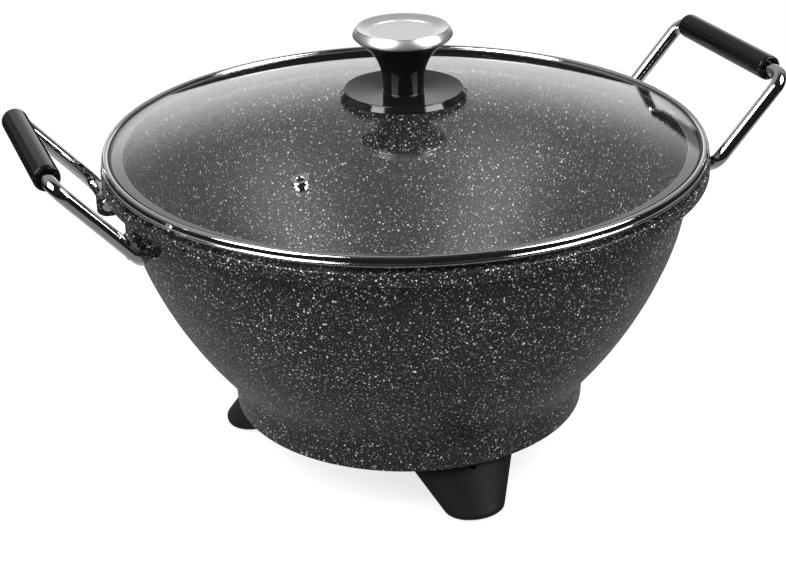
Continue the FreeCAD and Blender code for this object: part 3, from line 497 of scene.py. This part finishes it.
@dataclass(frozen=True)
class RimSteel:
    """Steel of the lid's rim: polished on the roll and wall, satin on the flange and skirt inside, which
    are coloured a darker grey as painted shade under the glass.

    The relief is given by how much of it shows and by its real height.
    """

    name: str = "rim_steel"
    color: tuple = (0.82, 0.82, 0.82, 1.0)
    # Darker grey painted on the flange and skirt inside the inner radius: painted shade under the glass.
    painted_shade_grey: tuple = (0.44, 0.44, 0.44, 1.0)
    polish: float = 0.08
    satin: float = 0.13
    wear: float = 0.03
    wear_scale: float = 500.0
    tone_scale: float = 60.0
    darker: float = 0.94
    relief: tuple = (0.02, 0.1 * MM)
    # Radii over which the satin flange gives way to the polished roll, and the painted shade fades out.
    inside: float = 155.0 * MM
    outside: float = 156.6 * MM

    def material(self) -> bpy.types.Material:
        """Builds the rim's steel.

        Returns:
            The material.
        """
        material, nodes = new_material(self.name)
        place = nodes.place()
        reach = nodes.reach(place)
        wear = nodes.noise(place, self.wear_scale, FINE, CRISP)
        rough = nodes.ramp(reach, self.inside, self.outside, self.satin, self.polish)
        rough = nodes.math("ADD", rough, nodes.ramp(wear, NOISE_LOW, NOISE_HIGH, 0.0, self.wear))
        tone = nodes.drift(place, self.tone_scale)
        color = nodes.mix_color(tone, shaded(self.color, self.darker), self.color)
        # Painted shade: inside the inner radius the steel's colour turns to the darker grey.
        painted_shade_share = nodes.ramp(reach, self.inside, self.outside, 1.0, 0.0)
        color = nodes.mix_color(painted_shade_share, color, self.painted_shade_grey)
        normal = nodes.bump(wear, *self.relief)
        shader = nodes.add("BsdfPrincipled", {
            "Base Color": color, "Roughness": rough, "Normal": normal, "Metallic": 1.0,
        })
        finish_material(nodes, shader)
        return material


@dataclass(frozen=True)
class CapSteel:
    """Steel of the knob's cap: finely grooved on the flat disc, smoother on the bevel round it.

    The relief is given by how much of it shows and by its real height.
    """

    name: str = "cap_steel"
    color: tuple = (0.90, 0.90, 0.90, 1.0)
    satin: float = 0.40
    spread: float = 0.05
    polish: float = 0.31
    groove: float = 0.28 * MM
    grain_scale: float = 2500.0
    darker: float = 0.94
    relief: tuple = (0.10, 0.03 * MM)
    disc: float = 18.6 * MM
    bevel: float = 20.2 * MM

    def material(self) -> bpy.types.Material:
        """Builds the cap's steel.

        Returns:
            The material.
        """
        material, nodes = new_material(self.name)
        place = nodes.place()
        reach = nodes.reach(place)
        spun = nodes.math("SINE", nodes.times(reach, 2 * math.pi / self.groove))
        bevel = nodes.ramp(reach, self.disc, self.bevel)
        satin = nodes.ramp(spun, -1.0, 1.0, self.satin - self.spread, self.satin + self.spread)
        rough = nodes.times(satin, nodes.invert(bevel))
        rough = nodes.math("ADD", rough, nodes.times(bevel, self.polish))
        grain = nodes.noise(place, self.grain_scale, COARSE, CRISP)
        color = nodes.mix_color(grain, shaded(self.color, self.darker), self.color)
        normal = nodes.bump(nodes.times(spun, nodes.invert(bevel)), *self.relief)
        shader = nodes.add("BsdfPrincipled", {
            "Base Color": color, "Roughness": rough, "Normal": normal, "Metallic": 1.0,
        })
        finish_material(nodes, shader)
        return material


@dataclass(frozen=True)
class Moulding:
    """A moulded plastic or rubber, from gloss to matte."""

    name: str
    color: tuple
    roughness: float
    grain: float
    relief: float
    gloss: float = 0.5
    flow_scale: float = 60.0
    smoother: float = 0.90
    rougher: float = 1.12
    paler: float = 1.35
    lift: float = 0.001
    pore_high: float = 0.75
    depth: float = 0.1 * MM

    def material(self) -> bpy.types.Material:
        """Builds the moulding.

        Returns:
            The material.
        """
        material, nodes = new_material(self.name)
        place = nodes.place()
        pores = nodes.noise(place, self.grain, FINE, CRISP)
        rough = nodes.drift(place, self.flow_scale, low=self.roughness * self.smoother,
                            high=self.roughness * self.rougher)
        color = nodes.mix_color(nodes.ramp(pores, NOISE_LOW, self.pore_high), self.color,
                                shaded(self.color, self.paler, self.lift))
        normal = nodes.bump(pores, self.relief, self.depth)
        shader = nodes.add("BsdfPrincipled", {
            "Base Color": color, "Roughness": rough, "Normal": normal,
            "Specular IOR Level": self.gloss,
        })
        finish_material(nodes, shader)
        return material


@dataclass(frozen=True)
class ClearGlass:
    """Toughened clear glass that bends what is seen through it and lets the lamps' light straight in."""

    name: str = "clear_glass"
    color: tuple = (0.975, 0.980, 0.977, 1.0)
    straight: tuple = (0.93, 0.935, 0.93, 1.0)
    index: float = 1.47
    haze: float = 0.012
    haze_scale: float = 40.0

    def passing(self, nodes: Nodes) -> object:
        """Mask of the light that goes straight through: shadows, soft light, and what the bowl mirrors.

        Args:
            nodes: the material's nodes.

        Returns:
            The mask's socket.
        """
        path = nodes.add("LightPath").outputs
        soft = nodes.larger(path["Is Shadow Ray"], path["Is Diffuse Ray"])
        mirrored = nodes.math("SUBTRACT", path["Is Glossy Ray"], path["Is Transmission Ray"])
        entering = nodes.invert(nodes.add("NewGeometry").outputs["Backfacing"])
        leaving = nodes.math("GREATER_THAN", path["Transparent Depth"], ANY)
        mirrored = nodes.times(mirrored, nodes.larger(entering, leaving))
        below = nodes.math("GREATER_THAN", path["Transmission Depth"], ANY)
        return nodes.math("MAXIMUM", soft, nodes.times(mirrored, below), clamp=True)

    def material(self) -> bpy.types.Material:
        """Builds the glass.

        Returns:
            The material.
        """
        material, nodes = new_material(self.name)
        rough = nodes.drift(nodes.place(), self.haze_scale, high=self.haze)
        glass = nodes.add("BsdfPrincipled", {
            "Base Color": self.color, "Roughness": rough, "IOR": self.index,
            "Transmission Weight": 1.0,
        })
        clear = nodes.add("BsdfTransparent", {"Color": self.straight})
        passing = self.passing(nodes)
        shader = nodes.add("MixShader", {0: passing, 1: glass.outputs[0], 2: clear.outputs[0]})
        finish_material(nodes, shader)
        return material


def grey(tone: float) -> tuple:
    """A neutral opaque colour."""
    return (tone, tone, tone, 1.0)


class Palette:
    """Every finish of the wok, built once."""

    def __init__(self) -> None:
        """Builds the materials."""
        self.stone = StoneCoating().material()
        self.chrome = Metal("chrome", (0.88, 0.88, 0.89, 1.0), roughness=0.05, spread=0.015).material()
        self.steel = Metal("polished_steel", grey(0.80), roughness=0.09, spread=0.02).material()
        self.satin = Metal("satin_steel", (0.62, 0.62, 0.61, 1.0), roughness=0.32, spread=0.06,
                           grain=900.0, relief=0.05).material()
        self.element = Metal("element_steel", (0.36, 0.34, 0.32, 1.0), roughness=0.38, spread=0.08,
                             grain=700.0, relief=0.06).material()
        self.brass = Metal("brass", (0.72, 0.56, 0.28, 1.0), roughness=0.25, spread=0.05).material()
        self.cap = CapSteel().material()
        self.rim = RimSteel().material()
        self.gloss = Moulding("gloss_black", grey(0.003), roughness=0.07, grain=900.0,
                              relief=0.006).material()
        self.grip = Moulding("grip_black", grey(0.003), roughness=0.09, grain=900.0,
                             relief=0.008, gloss=0.30).material()
        self.matte = Moulding("satin_black", grey(0.0035), roughness=0.50, grain=1500.0,
                              relief=0.10, gloss=0.12).material()
        self.rubber = Moulding("black_rubber", grey(0.012), roughness=0.60, grain=1200.0,
                               relief=0.12).material()
        self.silicone = Moulding("silicone", grey(0.006), roughness=0.34, grain=800.0,
                                 relief=0.04).material()
        self.glass = ClearGlass().material()


# ------------------------------------------------------------------ CAD pieces


def dress(node: str, material: bpy.types.Material) -> None:
    """Gives a CAD piece its finish and smooth shading.

    Args:
        node: the CAD node's name.
        material: its finish.
    """
    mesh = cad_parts[node].data
    mesh.materials.clear()
    mesh.materials.append(material)
    mesh.shade_smooth()
    mesh.set_sharp_from_angle(angle=math.radians(CAD_SHARP))
    LOG.info("dressed %s", node)


# ---------------------------------------------------------------- turned pieces


def arc_spots(start: Vector, finish: Vector, bend: float) -> list[Vector]:
    """Points along an arc, without its start.

    Args:
        start: where the arc starts.
        finish: where it ends.
        bend: its radius, positive where it turns left.

    Returns:
        The points.
    """
    chord = finish - start
    half = chord.length / 2
    side = 1.0 if bend > 0 else -1.0
    sweep = 2 * math.asin(min(half / abs(bend), 1.0))
    rise = math.sqrt(max(bend ** 2 - half ** 2, 0.0))
    left = Vector((-chord.y, chord.x)).normalized()
    centre = (start + finish) / 2 + left * rise * side
    count = max(2, math.ceil(math.degrees(sweep) / ARC_STEP))
    turns = (Matrix.Rotation(side * sweep * step / count, 2) for step in range(1, count + 1))
    return [centre + turn @ (start - centre) for turn in turns]


def trace(path: list[tuple]) -> list[Vector]:
    """Follows a closed outline of lines and arcs.

    Args:
        path: points as (radius, height), or (radius, height, bend) where an arc reaches the point.

    Returns:
        The outline's points.
    """
    spots = [Vector(path[0][:2])]
    for step in path[1:]:
        finish = Vector(step[:2])
        spots += arc_spots(spots[-1], finish, step[2]) if len(step) > 2 else [finish]
    return spots


def turned_mesh(name: str, path: list[tuple], turns: int) -> bpy.types.Mesh:
    """Turns a closed outline, in millimetres, about the upright axis.

    Args:
        name: the mesh's name.
        path: the outline, as trace reads it.
        turns: how many faces go round.

    Returns:
        The mesh, in metres.
    """
    shape = bmesh.new()
    spots = [shape.verts.new((spot.x * MM, 0.0, spot.y * MM)) for spot in trace(path)]
    pairs = [(spots[index - 1], spots[index]) for index in range(len(spots))]
    edges = [shape.edges.new(pair) for pair in pairs if max(spot.co.x for spot in pair) > 0.0]
    bmesh.ops.spin(shape, geom=spots + edges, cent=(0, 0, 0), axis=(0, 0, 1), angle=2 * math.pi,
                   steps=turns, use_merge=True)
    bmesh.ops.remove_doubles(shape, verts=shape.verts, dist=MERGE)
    bmesh.ops.recalc_face_normals(shape, faces=shape.faces)
    mesh = bpy.data.meshes.new(name)
    shape.to_mesh(mesh)
    shape.free()
    return mesh


def fit_piece(name: str, mesh: bpy.types.Mesh, material: bpy.types.Material, body: Body,
              node: str) -> None:
    """Finishes a mesh and puts it in the place of a CAD node.

    Args:
        name: the piece's name.
        mesh: its mesh, in place.
        material: its finish.
        body: the body that it moves with.
        node: the CAD node that it stands for.
    """
    mesh.materials.append(material)
    mesh.shade_smooth()
    mesh.set_sharp_from_angle(angle=math.radians(TURNED_SHARP))
    piece = bpy.data.objects.new(name, mesh)
    bpy.context.scene.collection.objects.link(piece)
    piece.modifiers.new("even_normals", "WEIGHTED_NORMAL").keep_sharp = True
    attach(piece, body.value)
    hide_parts(node)
    LOG.info("built %s", name)


# ---------------------------------------------------------------------- studio


@dataclass(frozen=True)
class Softbox:
    """A rectangular lamp, given by its bearing from the wok: right of the front and upwards."""

    name: str
    bearing: float
    rise: float
    away: float
    width: float
    height: float
    power: float


@dataclass
class Studio:
    """Camera, floor, lamps and surroundings. Tones are shares of white, heights are sines of a rise."""

    camera_place: tuple = (-0.31296, -0.82209, 0.50411)
    camera_right: tuple = (0.93420, -0.35620, -0.02020)
    camera_up: tuple = (0.17000, 0.39470, 0.90290)
    lens: float = 80.18
    sensor: float = 36.0
    nearest: float = 0.05
    farthest: float = 50.0
    middle: tuple = (0.0, 0.0, 0.18)
    front: float = -110.84
    floor_size: float = 12.0
    paper: tuple = (0.92, 0.92, 0.92, 1.0)
    ambient: float = 0.24
    ambient_above: float = 2.10
    ambient_top: float = 0.85
    wall_tone: float = 0.30
    wall_fade: tuple = (0.13, 0.46)
    zenith: float = 0.60
    zenith_fade: tuple = (0.80, 0.98)
    flag_tone: float = 0.12
    flag_across: tuple = (0.38, 0.62)
    flag_top: tuple = (0.30, 0.45)
    drape_turn: float = 15.0
    drape_tone: float = 0.012
    drape_start: float = -0.35
    drape_fade: float = 0.45
    cloth_tone: float = 0.21
    cloth_start: float = 0.02
    cloth_fade: float = 0.16
    table_fade: tuple = (0.40, 0.54)
    floor_mirrored: float = 0.40
    shadow_share: float = 0.72
    shadow_fade: tuple = (0.25, 0.75)
    lamps: tuple = (
        Softbox("left_softbox", bearing=-53.0, rise=36.0, away=1.6, width=0.95, height=1.20, power=34.0),
        Softbox("right_softbox", bearing=71.0, rise=36.0, away=1.6, width=0.80, height=1.20, power=28.0),
    )

    def build(self) -> None:
        """Sets up everything round the wok."""
        bpy.context.scene.view_settings.view_transform = "Standard"
        self.add_camera()
        self.add_floor()
        self.add_world()
        for lamp in self.lamps:
            self.add_lamp(lamp)

    def add_camera(self) -> None:
        """Places the camera at the viewing angle."""
        data = bpy.data.cameras.new("camera")
        data.lens = self.lens
        data.sensor_width = self.sensor
        data.clip_start = self.nearest
        data.clip_end = self.farthest
        camera = bpy.data.objects.new("camera", data)
        bpy.context.scene.collection.objects.link(camera)
        right = Vector(self.camera_right).normalized()
        up = Vector(self.camera_up)
        up = (up - right * up.dot(right)).normalized()
        back = right.cross(up)
        turn = Matrix((right, up, back)).transposed().to_4x4()
        camera.matrix_world = Matrix.Translation(self.camera_place) @ turn
        bpy.context.scene.camera = camera

    def in_front(self, nodes: Nodes, spot: object, start: float, fade: float) -> object:
        """Mask of what lies towards the front of the studio.

        Args:
            nodes: the tree to add to.
            spot: a place or a direction.
            start: how far to the front the mask starts.
            fade: over what distance it reaches 1.

        Returns:
            The mask's socket.
        """
        turn = math.radians(self.front + self.drape_turn)
        toward = (math.cos(turn), math.sin(turn), 0.0)
        return nodes.ramp(nodes.along(spot, toward), start, start + fade)

    def add_piece(self, name: str, mesh: bpy.types.Mesh, material: bpy.types.Material) -> None:
        """Links a piece of the studio.

        Args:
            name: the piece's name.
            mesh: its mesh.
            material: its material.
        """
        mesh.materials.append(material)
        piece = bpy.data.objects.new(name, mesh)
        bpy.context.scene.collection.objects.link(piece)

    def floor_tone(self, nodes: Nodes, mirrored: object) -> object:
        """How brightly the floor shows: white to the eye, and in mirrored light greyer, with dark cloth
        at the front and nothing beyond the table's edge.

        Args:
            nodes: the floor material's nodes.
            mirrored: mask of mirrored light.

        Returns:
            The tone's socket.
        """
        place = nodes.place()
        cloth = self.in_front(nodes, place, self.cloth_start, self.cloth_fade)
        pale = nodes.invert(nodes.times(mirrored, 1.0 - self.floor_mirrored))
        bare = nodes.invert(nodes.times(cloth, mirrored))
        table = nodes.ramp(nodes.reach(place), *self.table_fade, 1.0, 0.0)
        kept = nodes.larger(table, nodes.invert(mirrored))
        tone = nodes.larger(nodes.times(pale, bare), self.cloth_tone)
        return nodes.larger(nodes.times(tone, kept), self.drape_tone)

    def floor_material(self) -> bpy.types.Material:
        """Builds the floor's white, which keeps a soft shadow near the wok.

        Returns:
            The material.
        """
        material, nodes = new_material("floor")
        path = nodes.add("LightPath").outputs
        mirrored = path["Is Glossy Ray"]
        seen = nodes.larger(path["Is Camera Ray"], path["Is Transmission Ray"])
        seen = nodes.larger(seen, mirrored)
        paper = nodes.add("BsdfDiffuse", {"Color": self.paper})
        tone = self.floor_tone(nodes, mirrored)
        glow = nodes.add("Emission", {"Color": WHITE, "Strength": tone})
        share = nodes.ramp(nodes.reach(nodes.place()), *self.shadow_fade, self.shadow_share, 1.0)
        share = nodes.larger(nodes.times(seen, share), mirrored)
        shader = nodes.add("MixShader", {0: share, 1: paper.outputs[0], 2: glow.outputs[0]})
        finish_material(nodes, shader)
        return material

    def add_floor(self) -> None:
        """Lays the floor."""
        mesh = bpy.data.meshes.new("floor")
        half = self.floor_size / 2
        corners = [(-half, -half, 0), (half, -half, 0), (half, half, 0), (-half, half, 0)]
        mesh.from_pydata(corners, [], [(0, 1, 2, 3)])
        self.add_piece("floor", mesh, self.floor_material())

    def mirrored_tone(self, nodes: Nodes, line: object, up: object) -> object:
        """How brightly the surroundings mirror: white low at the back, grey above it, dark at the front
        and low at both sides.

        Args:
            nodes: the world's nodes.
            line: the direction's socket.
            up: the socket of the direction's height.

        Returns:
            The tone's socket.
        """
        wall = nodes.ramp(up, *self.wall_fade, 1.0, self.wall_tone)
        wall = nodes.times(wall, nodes.ramp(up, *self.zenith_fade, 1.0, self.zenith))
        dark = self.in_front(nodes, line, self.drape_start, self.drape_fade)
        behind = nodes.times(wall, nodes.invert(dark))
        across = nodes.along(line, (self.camera_right[0], self.camera_right[1], 0.0))
        flag = nodes.ramp(nodes.math("ABSOLUTE", across), *self.flag_across)
        flag = nodes.times(flag, nodes.ramp(up, *self.flag_top, 1.0, 0.0))
        behind = nodes.times(behind, nodes.ramp(flag, 0.0, 1.0, 1.0, self.flag_tone))
        return nodes.math("ADD", behind, nodes.times(dark, self.drape_tone))

    def add_world(self) -> None:
        """Surrounds the wok: white to the eye, graded in mirrored light and brighter from above."""
        world = bpy.data.worlds.new("studio")
        bpy.context.scene.world = world
        world.use_nodes = True
        nodes = Nodes(world.node_tree)
        path = nodes.add("LightPath").outputs
        line = nodes.add("TexCoord").outputs["Generated"]
        up = nodes.add("SeparateXYZ", {0: line}).outputs["Z"]
        seen = nodes.larger(path["Is Camera Ray"], path["Is Transmission Ray"])
        level = nodes.ramp(up, 0.0, self.ambient_top, self.ambient, self.ambient_above)
        mirrored = self.mirrored_tone(nodes, line, up)
        soft = nodes.add("Background", {"Color": WHITE, "Strength": level})
        white = nodes.add("Background", {"Color": WHITE, "Strength": 1.0})
        graded = nodes.add("Background", {"Color": WHITE, "Strength": mirrored})
        shader = nodes.add("MixShader", {0: seen, 1: soft.outputs[0], 2: white.outputs[0]})
        gloss = path["Is Glossy Ray"]
        shader = nodes.add("MixShader", {0: gloss, 1: shader.outputs[0], 2: graded.outputs[0]})
        output = nodes.add("OutputWorld")
        nodes.feed(output.inputs["Surface"], shader.outputs[0])

    def add_lamp(self, box: Softbox) -> None:
        """Adds a soft rectangular lamp that faces the wok.

        Args:
            box: the lamp's bearing, size and power.
        """
        data = bpy.data.lights.new(box.name, "AREA")
        data.shape = "RECTANGLE"
        data.size = box.width
        data.size_y = box.height
        data.energy = box.power
        lamp = bpy.data.objects.new(box.name, data)
        bpy.context.scene.collection.objects.link(lamp)
        turn = math.radians(self.front + box.bearing)
        rise = math.radians(box.rise)
        line = Vector((math.cos(turn) * math.cos(rise), math.sin(turn) * math.cos(rise), math.sin(rise)))
        lamp.location = Vector(self.middle) + line * box.away
        lamp.rotation_mode = "QUATERNION"
        lamp.rotation_quaternion = (-line).to_track_quat("-Z", "Y")


# ------------------------------------------------------------------ assemblies


@dataclass
class PanAssembly:
    """The cast pan with its element, inlet, base plate, legs and feet."""

    palette: Palette

    def build(self) -> None:
        """Dresses the pan and what is fixed to it."""
        dress("wok_pan", self.palette.stone)
        dress("heating_element", self.palette.element)
        dress("probe_sleeve", self.palette.steel)
        dress("inlet_guard", self.palette.satin)
        dress("base_plate", self.palette.satin)
        for side in Side:
            dress("terminal_pin_" + side.value, self.palette.steel)
            dress("inlet_screw_" + side.value, self.palette.satin)
        for leg in Leg:
            dress("leg_" + leg.value, self.palette.matte)
            dress("foot_pad_" + leg.value, self.palette.rubber)
            dress("leg_screw_" + leg.value, self.palette.satin)


@dataclass
class HandleAssembly:
    """One swinging rod handle with its grip."""

    palette: Palette
    side: Side
    bore: float = 3.85
    recess: float = 1.0
    wall: float = 1.6
    outer_round: float = 1.2
    inner_round: float = 0.4
    inside_by: float = 0.01
    turns: int = 96

    def build(self) -> None:
        """Dresses the rod and turns its grip."""
        dress("handle_rod_" + self.side.value, self.palette.chrome)
        self.add_grip()

    def add_grip(self) -> None:
        """Turns the grip, with let-in ends that leave a rounded rim round the rod."""
        node = "handle_grip_" + self.side.value
        low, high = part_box(node)
        half = (high.y - low.y) / 2 / MM - self.inside_by
        radius = (high.z - low.z) / 2 / MM - self.inside_by
        rim = radius - self.wall
        soft = self.inner_round
        path = [
            (self.bore, self.recess - half),
            (rim, self.recess - half),
            (rim, soft - half),
            (rim + soft, -half, soft),
            (radius - self.outer_round, -half),
            (radius, self.outer_round - half, self.outer_round),
            (radius, half - self.outer_round),
            (radius - self.outer_round, half, self.outer_round),
            (rim + soft, half),
            (rim, half - soft, soft),
            (rim, half - self.recess),
            (self.bore, half - self.recess),
        ]
        mesh = turned_mesh(node + "_turned", path, self.turns)
        lie = Matrix.Translation((low + high) / 2) @ Matrix.Rotation(math.radians(90.0), 4, "X")
        mesh.transform(lie)
        name = "grip_" + self.side.value
        fit_piece(name, mesh, self.palette.grip, self.side.body, node)


@dataclass
class RimSizes:
    """Section of the lid's rim and gasket, in millimetres."""

    sheet: float = 0.6
    roll: float = 1.6
    wall: float = 3.4
    bead_height: float = 1.9
    bead_bend: float = 0.97
    radius: float = 160.0
    skirt: float = 149.8
    skirt_sheet: float = 1.1
    flange_bend: float = 0.8
    skirt_bend: float = 0.5
    glass_radius: float = 155.8
    glass_edge: float = 0.86
    gasket_reach: float = 1.1
    gasket_lip: float = 0.7


@dataclass
class KnobSizes:
    """Section of the knob and its cap, in millimetres."""

    bore: float = 4.5
    bore_depth: float = 14.0
    lip: float = 0.9
    lip_width: float = 3.2
    radius: float = 33.7
    edge: float = 0.6
    flange: float = 31.4
    flange_height: float = 3.5
    dish: float = 1.6
    fillet: float = 0.5
    waist: float = 10.8
    waist_height: float = 6.7
    neck: float = 24.0
    neck_height: float = 29.9
    cap_lift: float = 0.8
    cap_foot: float = 24.5
    cap_radius: float = 26.1
    cap_lower: float = 2.1
    cap_fold: float = 23.8
    cap_fold_round: float = 0.35
    cap_below: float = 0.08
    cap_bulge: float = 9.0
    cap_rim_inner: float = 19.0
    cap_rim_fall: float = 1.45
    cap_dish: float = 17.6
    cap_dish_bend: float = 1.6
    cap_dish_depth: float = 2.3
    cap_sheet: float = 0.7
    head_gap: float = 0.1


@dataclass
class LidAssembly:
    """The glass lid with its rim, gasket, vent and knob."""

    palette: Palette
    rim: RimSizes = field(default_factory=RimSizes)
    knob: KnobSizes = field(default_factory=KnobSizes)
    ring_turns: int = 512
    knob_turns: int = 192

    def build(self) -> None:
        """Dresses the lid's small pieces and turns the others."""
        dressed = {
            "lid_glass": self.palette.glass,
            "vent_ferrule": self.palette.steel,
            "knob_seal": self.palette.silicone,
            "knob_insert": self.palette.brass,
            "knob_screw": self.palette.satin,
            "knob_washer": self.palette.satin,
        }
        for node, material in dressed.items():
            dress(node, material)
        self.add_rim()
        self.add_gasket()
        self.add_knob()
        self.add_cap()

    def seat(self) -> float:
        """Height of the land that the lid rests on, in millimetres."""
        size = self.rim
        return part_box("lid_rim")[1].z / MM - size.wall - size.roll

    def add_rim(self) -> None:
        """Turns the rolled steel rim with its bead, flange and locating skirt."""
        size = self.rim
        seat = self.seat()
        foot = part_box("lid_rim")[0].z / MM
        inner = size.skirt - size.skirt_sheet
        half = size.skirt_sheet / 2
        hollow = size.roll - size.sheet
        crest = size.radius - size.roll
        spring = seat + size.wall
        path = [
            (inner, foot + half),
            (size.skirt, foot + half, half),
            (size.skirt, seat - size.skirt_bend),
            (size.skirt + size.skirt_bend, seat, -size.skirt_bend),
            (size.radius, seat),
            (size.radius, seat + size.bead_height, size.bead_bend),
            (size.radius, spring),
            (crest, spring + size.roll, size.roll),
            (crest - size.roll, spring, size.roll),
            (crest - hollow, spring),
            (crest, spring + hollow, -hollow),
            (crest + hollow, spring, -hollow),
            (crest + hollow, seat + size.sheet),
            (inner + size.flange_bend, seat + size.sheet),
            (inner, seat + size.sheet - size.flange_bend, size.flange_bend),
        ]
        mesh = turned_mesh("rim_section", path, self.ring_turns)
        fit_piece("rolled_rim", mesh, self.palette.rim, Body.LID, "lid_rim")

    def add_gasket(self) -> None:
        """Turns the silicone ring, with a thin lip above the glass and a narrow seat under it."""
        size = self.rim
        seat = self.seat()
        floor = seat + size.sheet
        outer = size.radius - size.sheet
        hollow = size.roll - size.sheet
        crest = size.radius - size.roll
        spring = seat + size.wall
        edge = size.glass_radius
        path = [
            (edge - size.gasket_reach, floor),
            (outer, floor),
            (outer, spring),
            (crest, spring + hollow, hollow),
            (crest - hollow, spring, hollow),
            (crest - size.roll, spring),
            (edge, spring + size.gasket_lip),
            (edge, seat + size.glass_edge),
            (edge - size.gasket_reach, seat + size.glass_edge),
        ]
        mesh = turned_mesh("gasket_section", path, self.ring_turns)
        fit_piece("glass_gasket", mesh, self.palette.silicone, Body.LID, "lid_gasket")

    def add_knob(self) -> None:
        """Turns the moulded knob: flange, waisted stem and the head under the cap."""
        size = self.knob
        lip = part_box("knob_body")[0].z / MM
        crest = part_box("knob_cap")[1].z / MM
        base = lip + size.lip
        top = lip + size.flange_height
        dish = top - size.dish
        waist_z = lip + size.waist_height
        neck_z = lip + size.neck_height
        wide = size.neck - size.waist
        tall = neck_z - waist_z
        flare = (wide * wide + tall * tall) / (wide * 2)
        shrink = size.cap_sheet + size.head_gap
        head = crest - size.cap_dish_depth - shrink
        path = [
            (size.bore, base),
            (size.radius - size.lip_width, base),
            (size.radius - size.lip_width, lip),
            (size.radius - size.edge, lip),
            (size.radius, lip + size.edge, size.edge),
            (size.flange + size.edge / 2, top - size.edge),
            (size.flange - size.edge / 2, top, size.edge),
            (size.waist + size.fillet, dish),
            (size.waist, dish + size.fillet, -size.fillet),
            (size.waist, waist_z),
            (size.neck, neck_z, -flare),
            (size.neck, neck_z + size.cap_lift),
            (size.cap_radius - shrink, neck_z + size.cap_lift + size.cap_lower),
            (size.cap_fold - shrink, head),
            (0.0, head),
            (0.0, base + size.bore_depth),
            (size.bore, base + size.bore_depth),
        ]
        mesh = turned_mesh("knob_section", path, self.knob_turns)
        fit_piece("knob", mesh, self.palette.gloss, Body.LID, "knob_body")

    def add_cap(self) -> None:
        """Turns the steel cap: a tall bevel up to a fold, and a rim that falls inwards to the dish."""
        size = self.knob
        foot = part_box("knob_cap")[0].z / MM
        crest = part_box("knob_cap")[1].z / MM
        sheet = size.cap_sheet
        wide_z = foot + size.cap_lower
        fold = size.cap_fold
        soft = size.cap_fold_round
        ledge = crest - size.cap_rim_fall - size.cap_below
        floor = crest - size.cap_dish_depth
        path = [
            (size.cap_foot, foot),
            (size.cap_radius, wide_z, size.cap_lower),
            (fold + soft, crest - soft - size.cap_below, size.cap_bulge),
            (fold - soft / 2, crest - size.cap_below, soft),
            (size.cap_rim_inner, ledge),
            (size.cap_dish, floor, size.cap_dish_bend),
            (0.0, floor),
            (0.0, floor - sheet),
            (size.cap_dish, floor - sheet),
            (size.cap_rim_inner, ledge - sheet),
            (fold - sheet, crest - sheet),
            (size.cap_radius - sheet, wide_z),
            (size.cap_foot - sheet / 2, foot),
        ]
        mesh = turned_mesh("cap_section", path, self.knob_turns)
        fit_piece("cap", mesh, self.palette.cap, Body.LID, "knob_cap")


def main() -> None:
    """Builds the studio and dresses every part of the wok."""
    logging.basicConfig(level=logging.INFO, format="%(name)s: %(message)s")
    palette = Palette()
    Studio().build()
    PanAssembly(palette).build()
    for side in Side:
        HandleAssembly(palette, side).build()
    LidAssembly(palette).build()


if __name__ == "__main__":
    main()
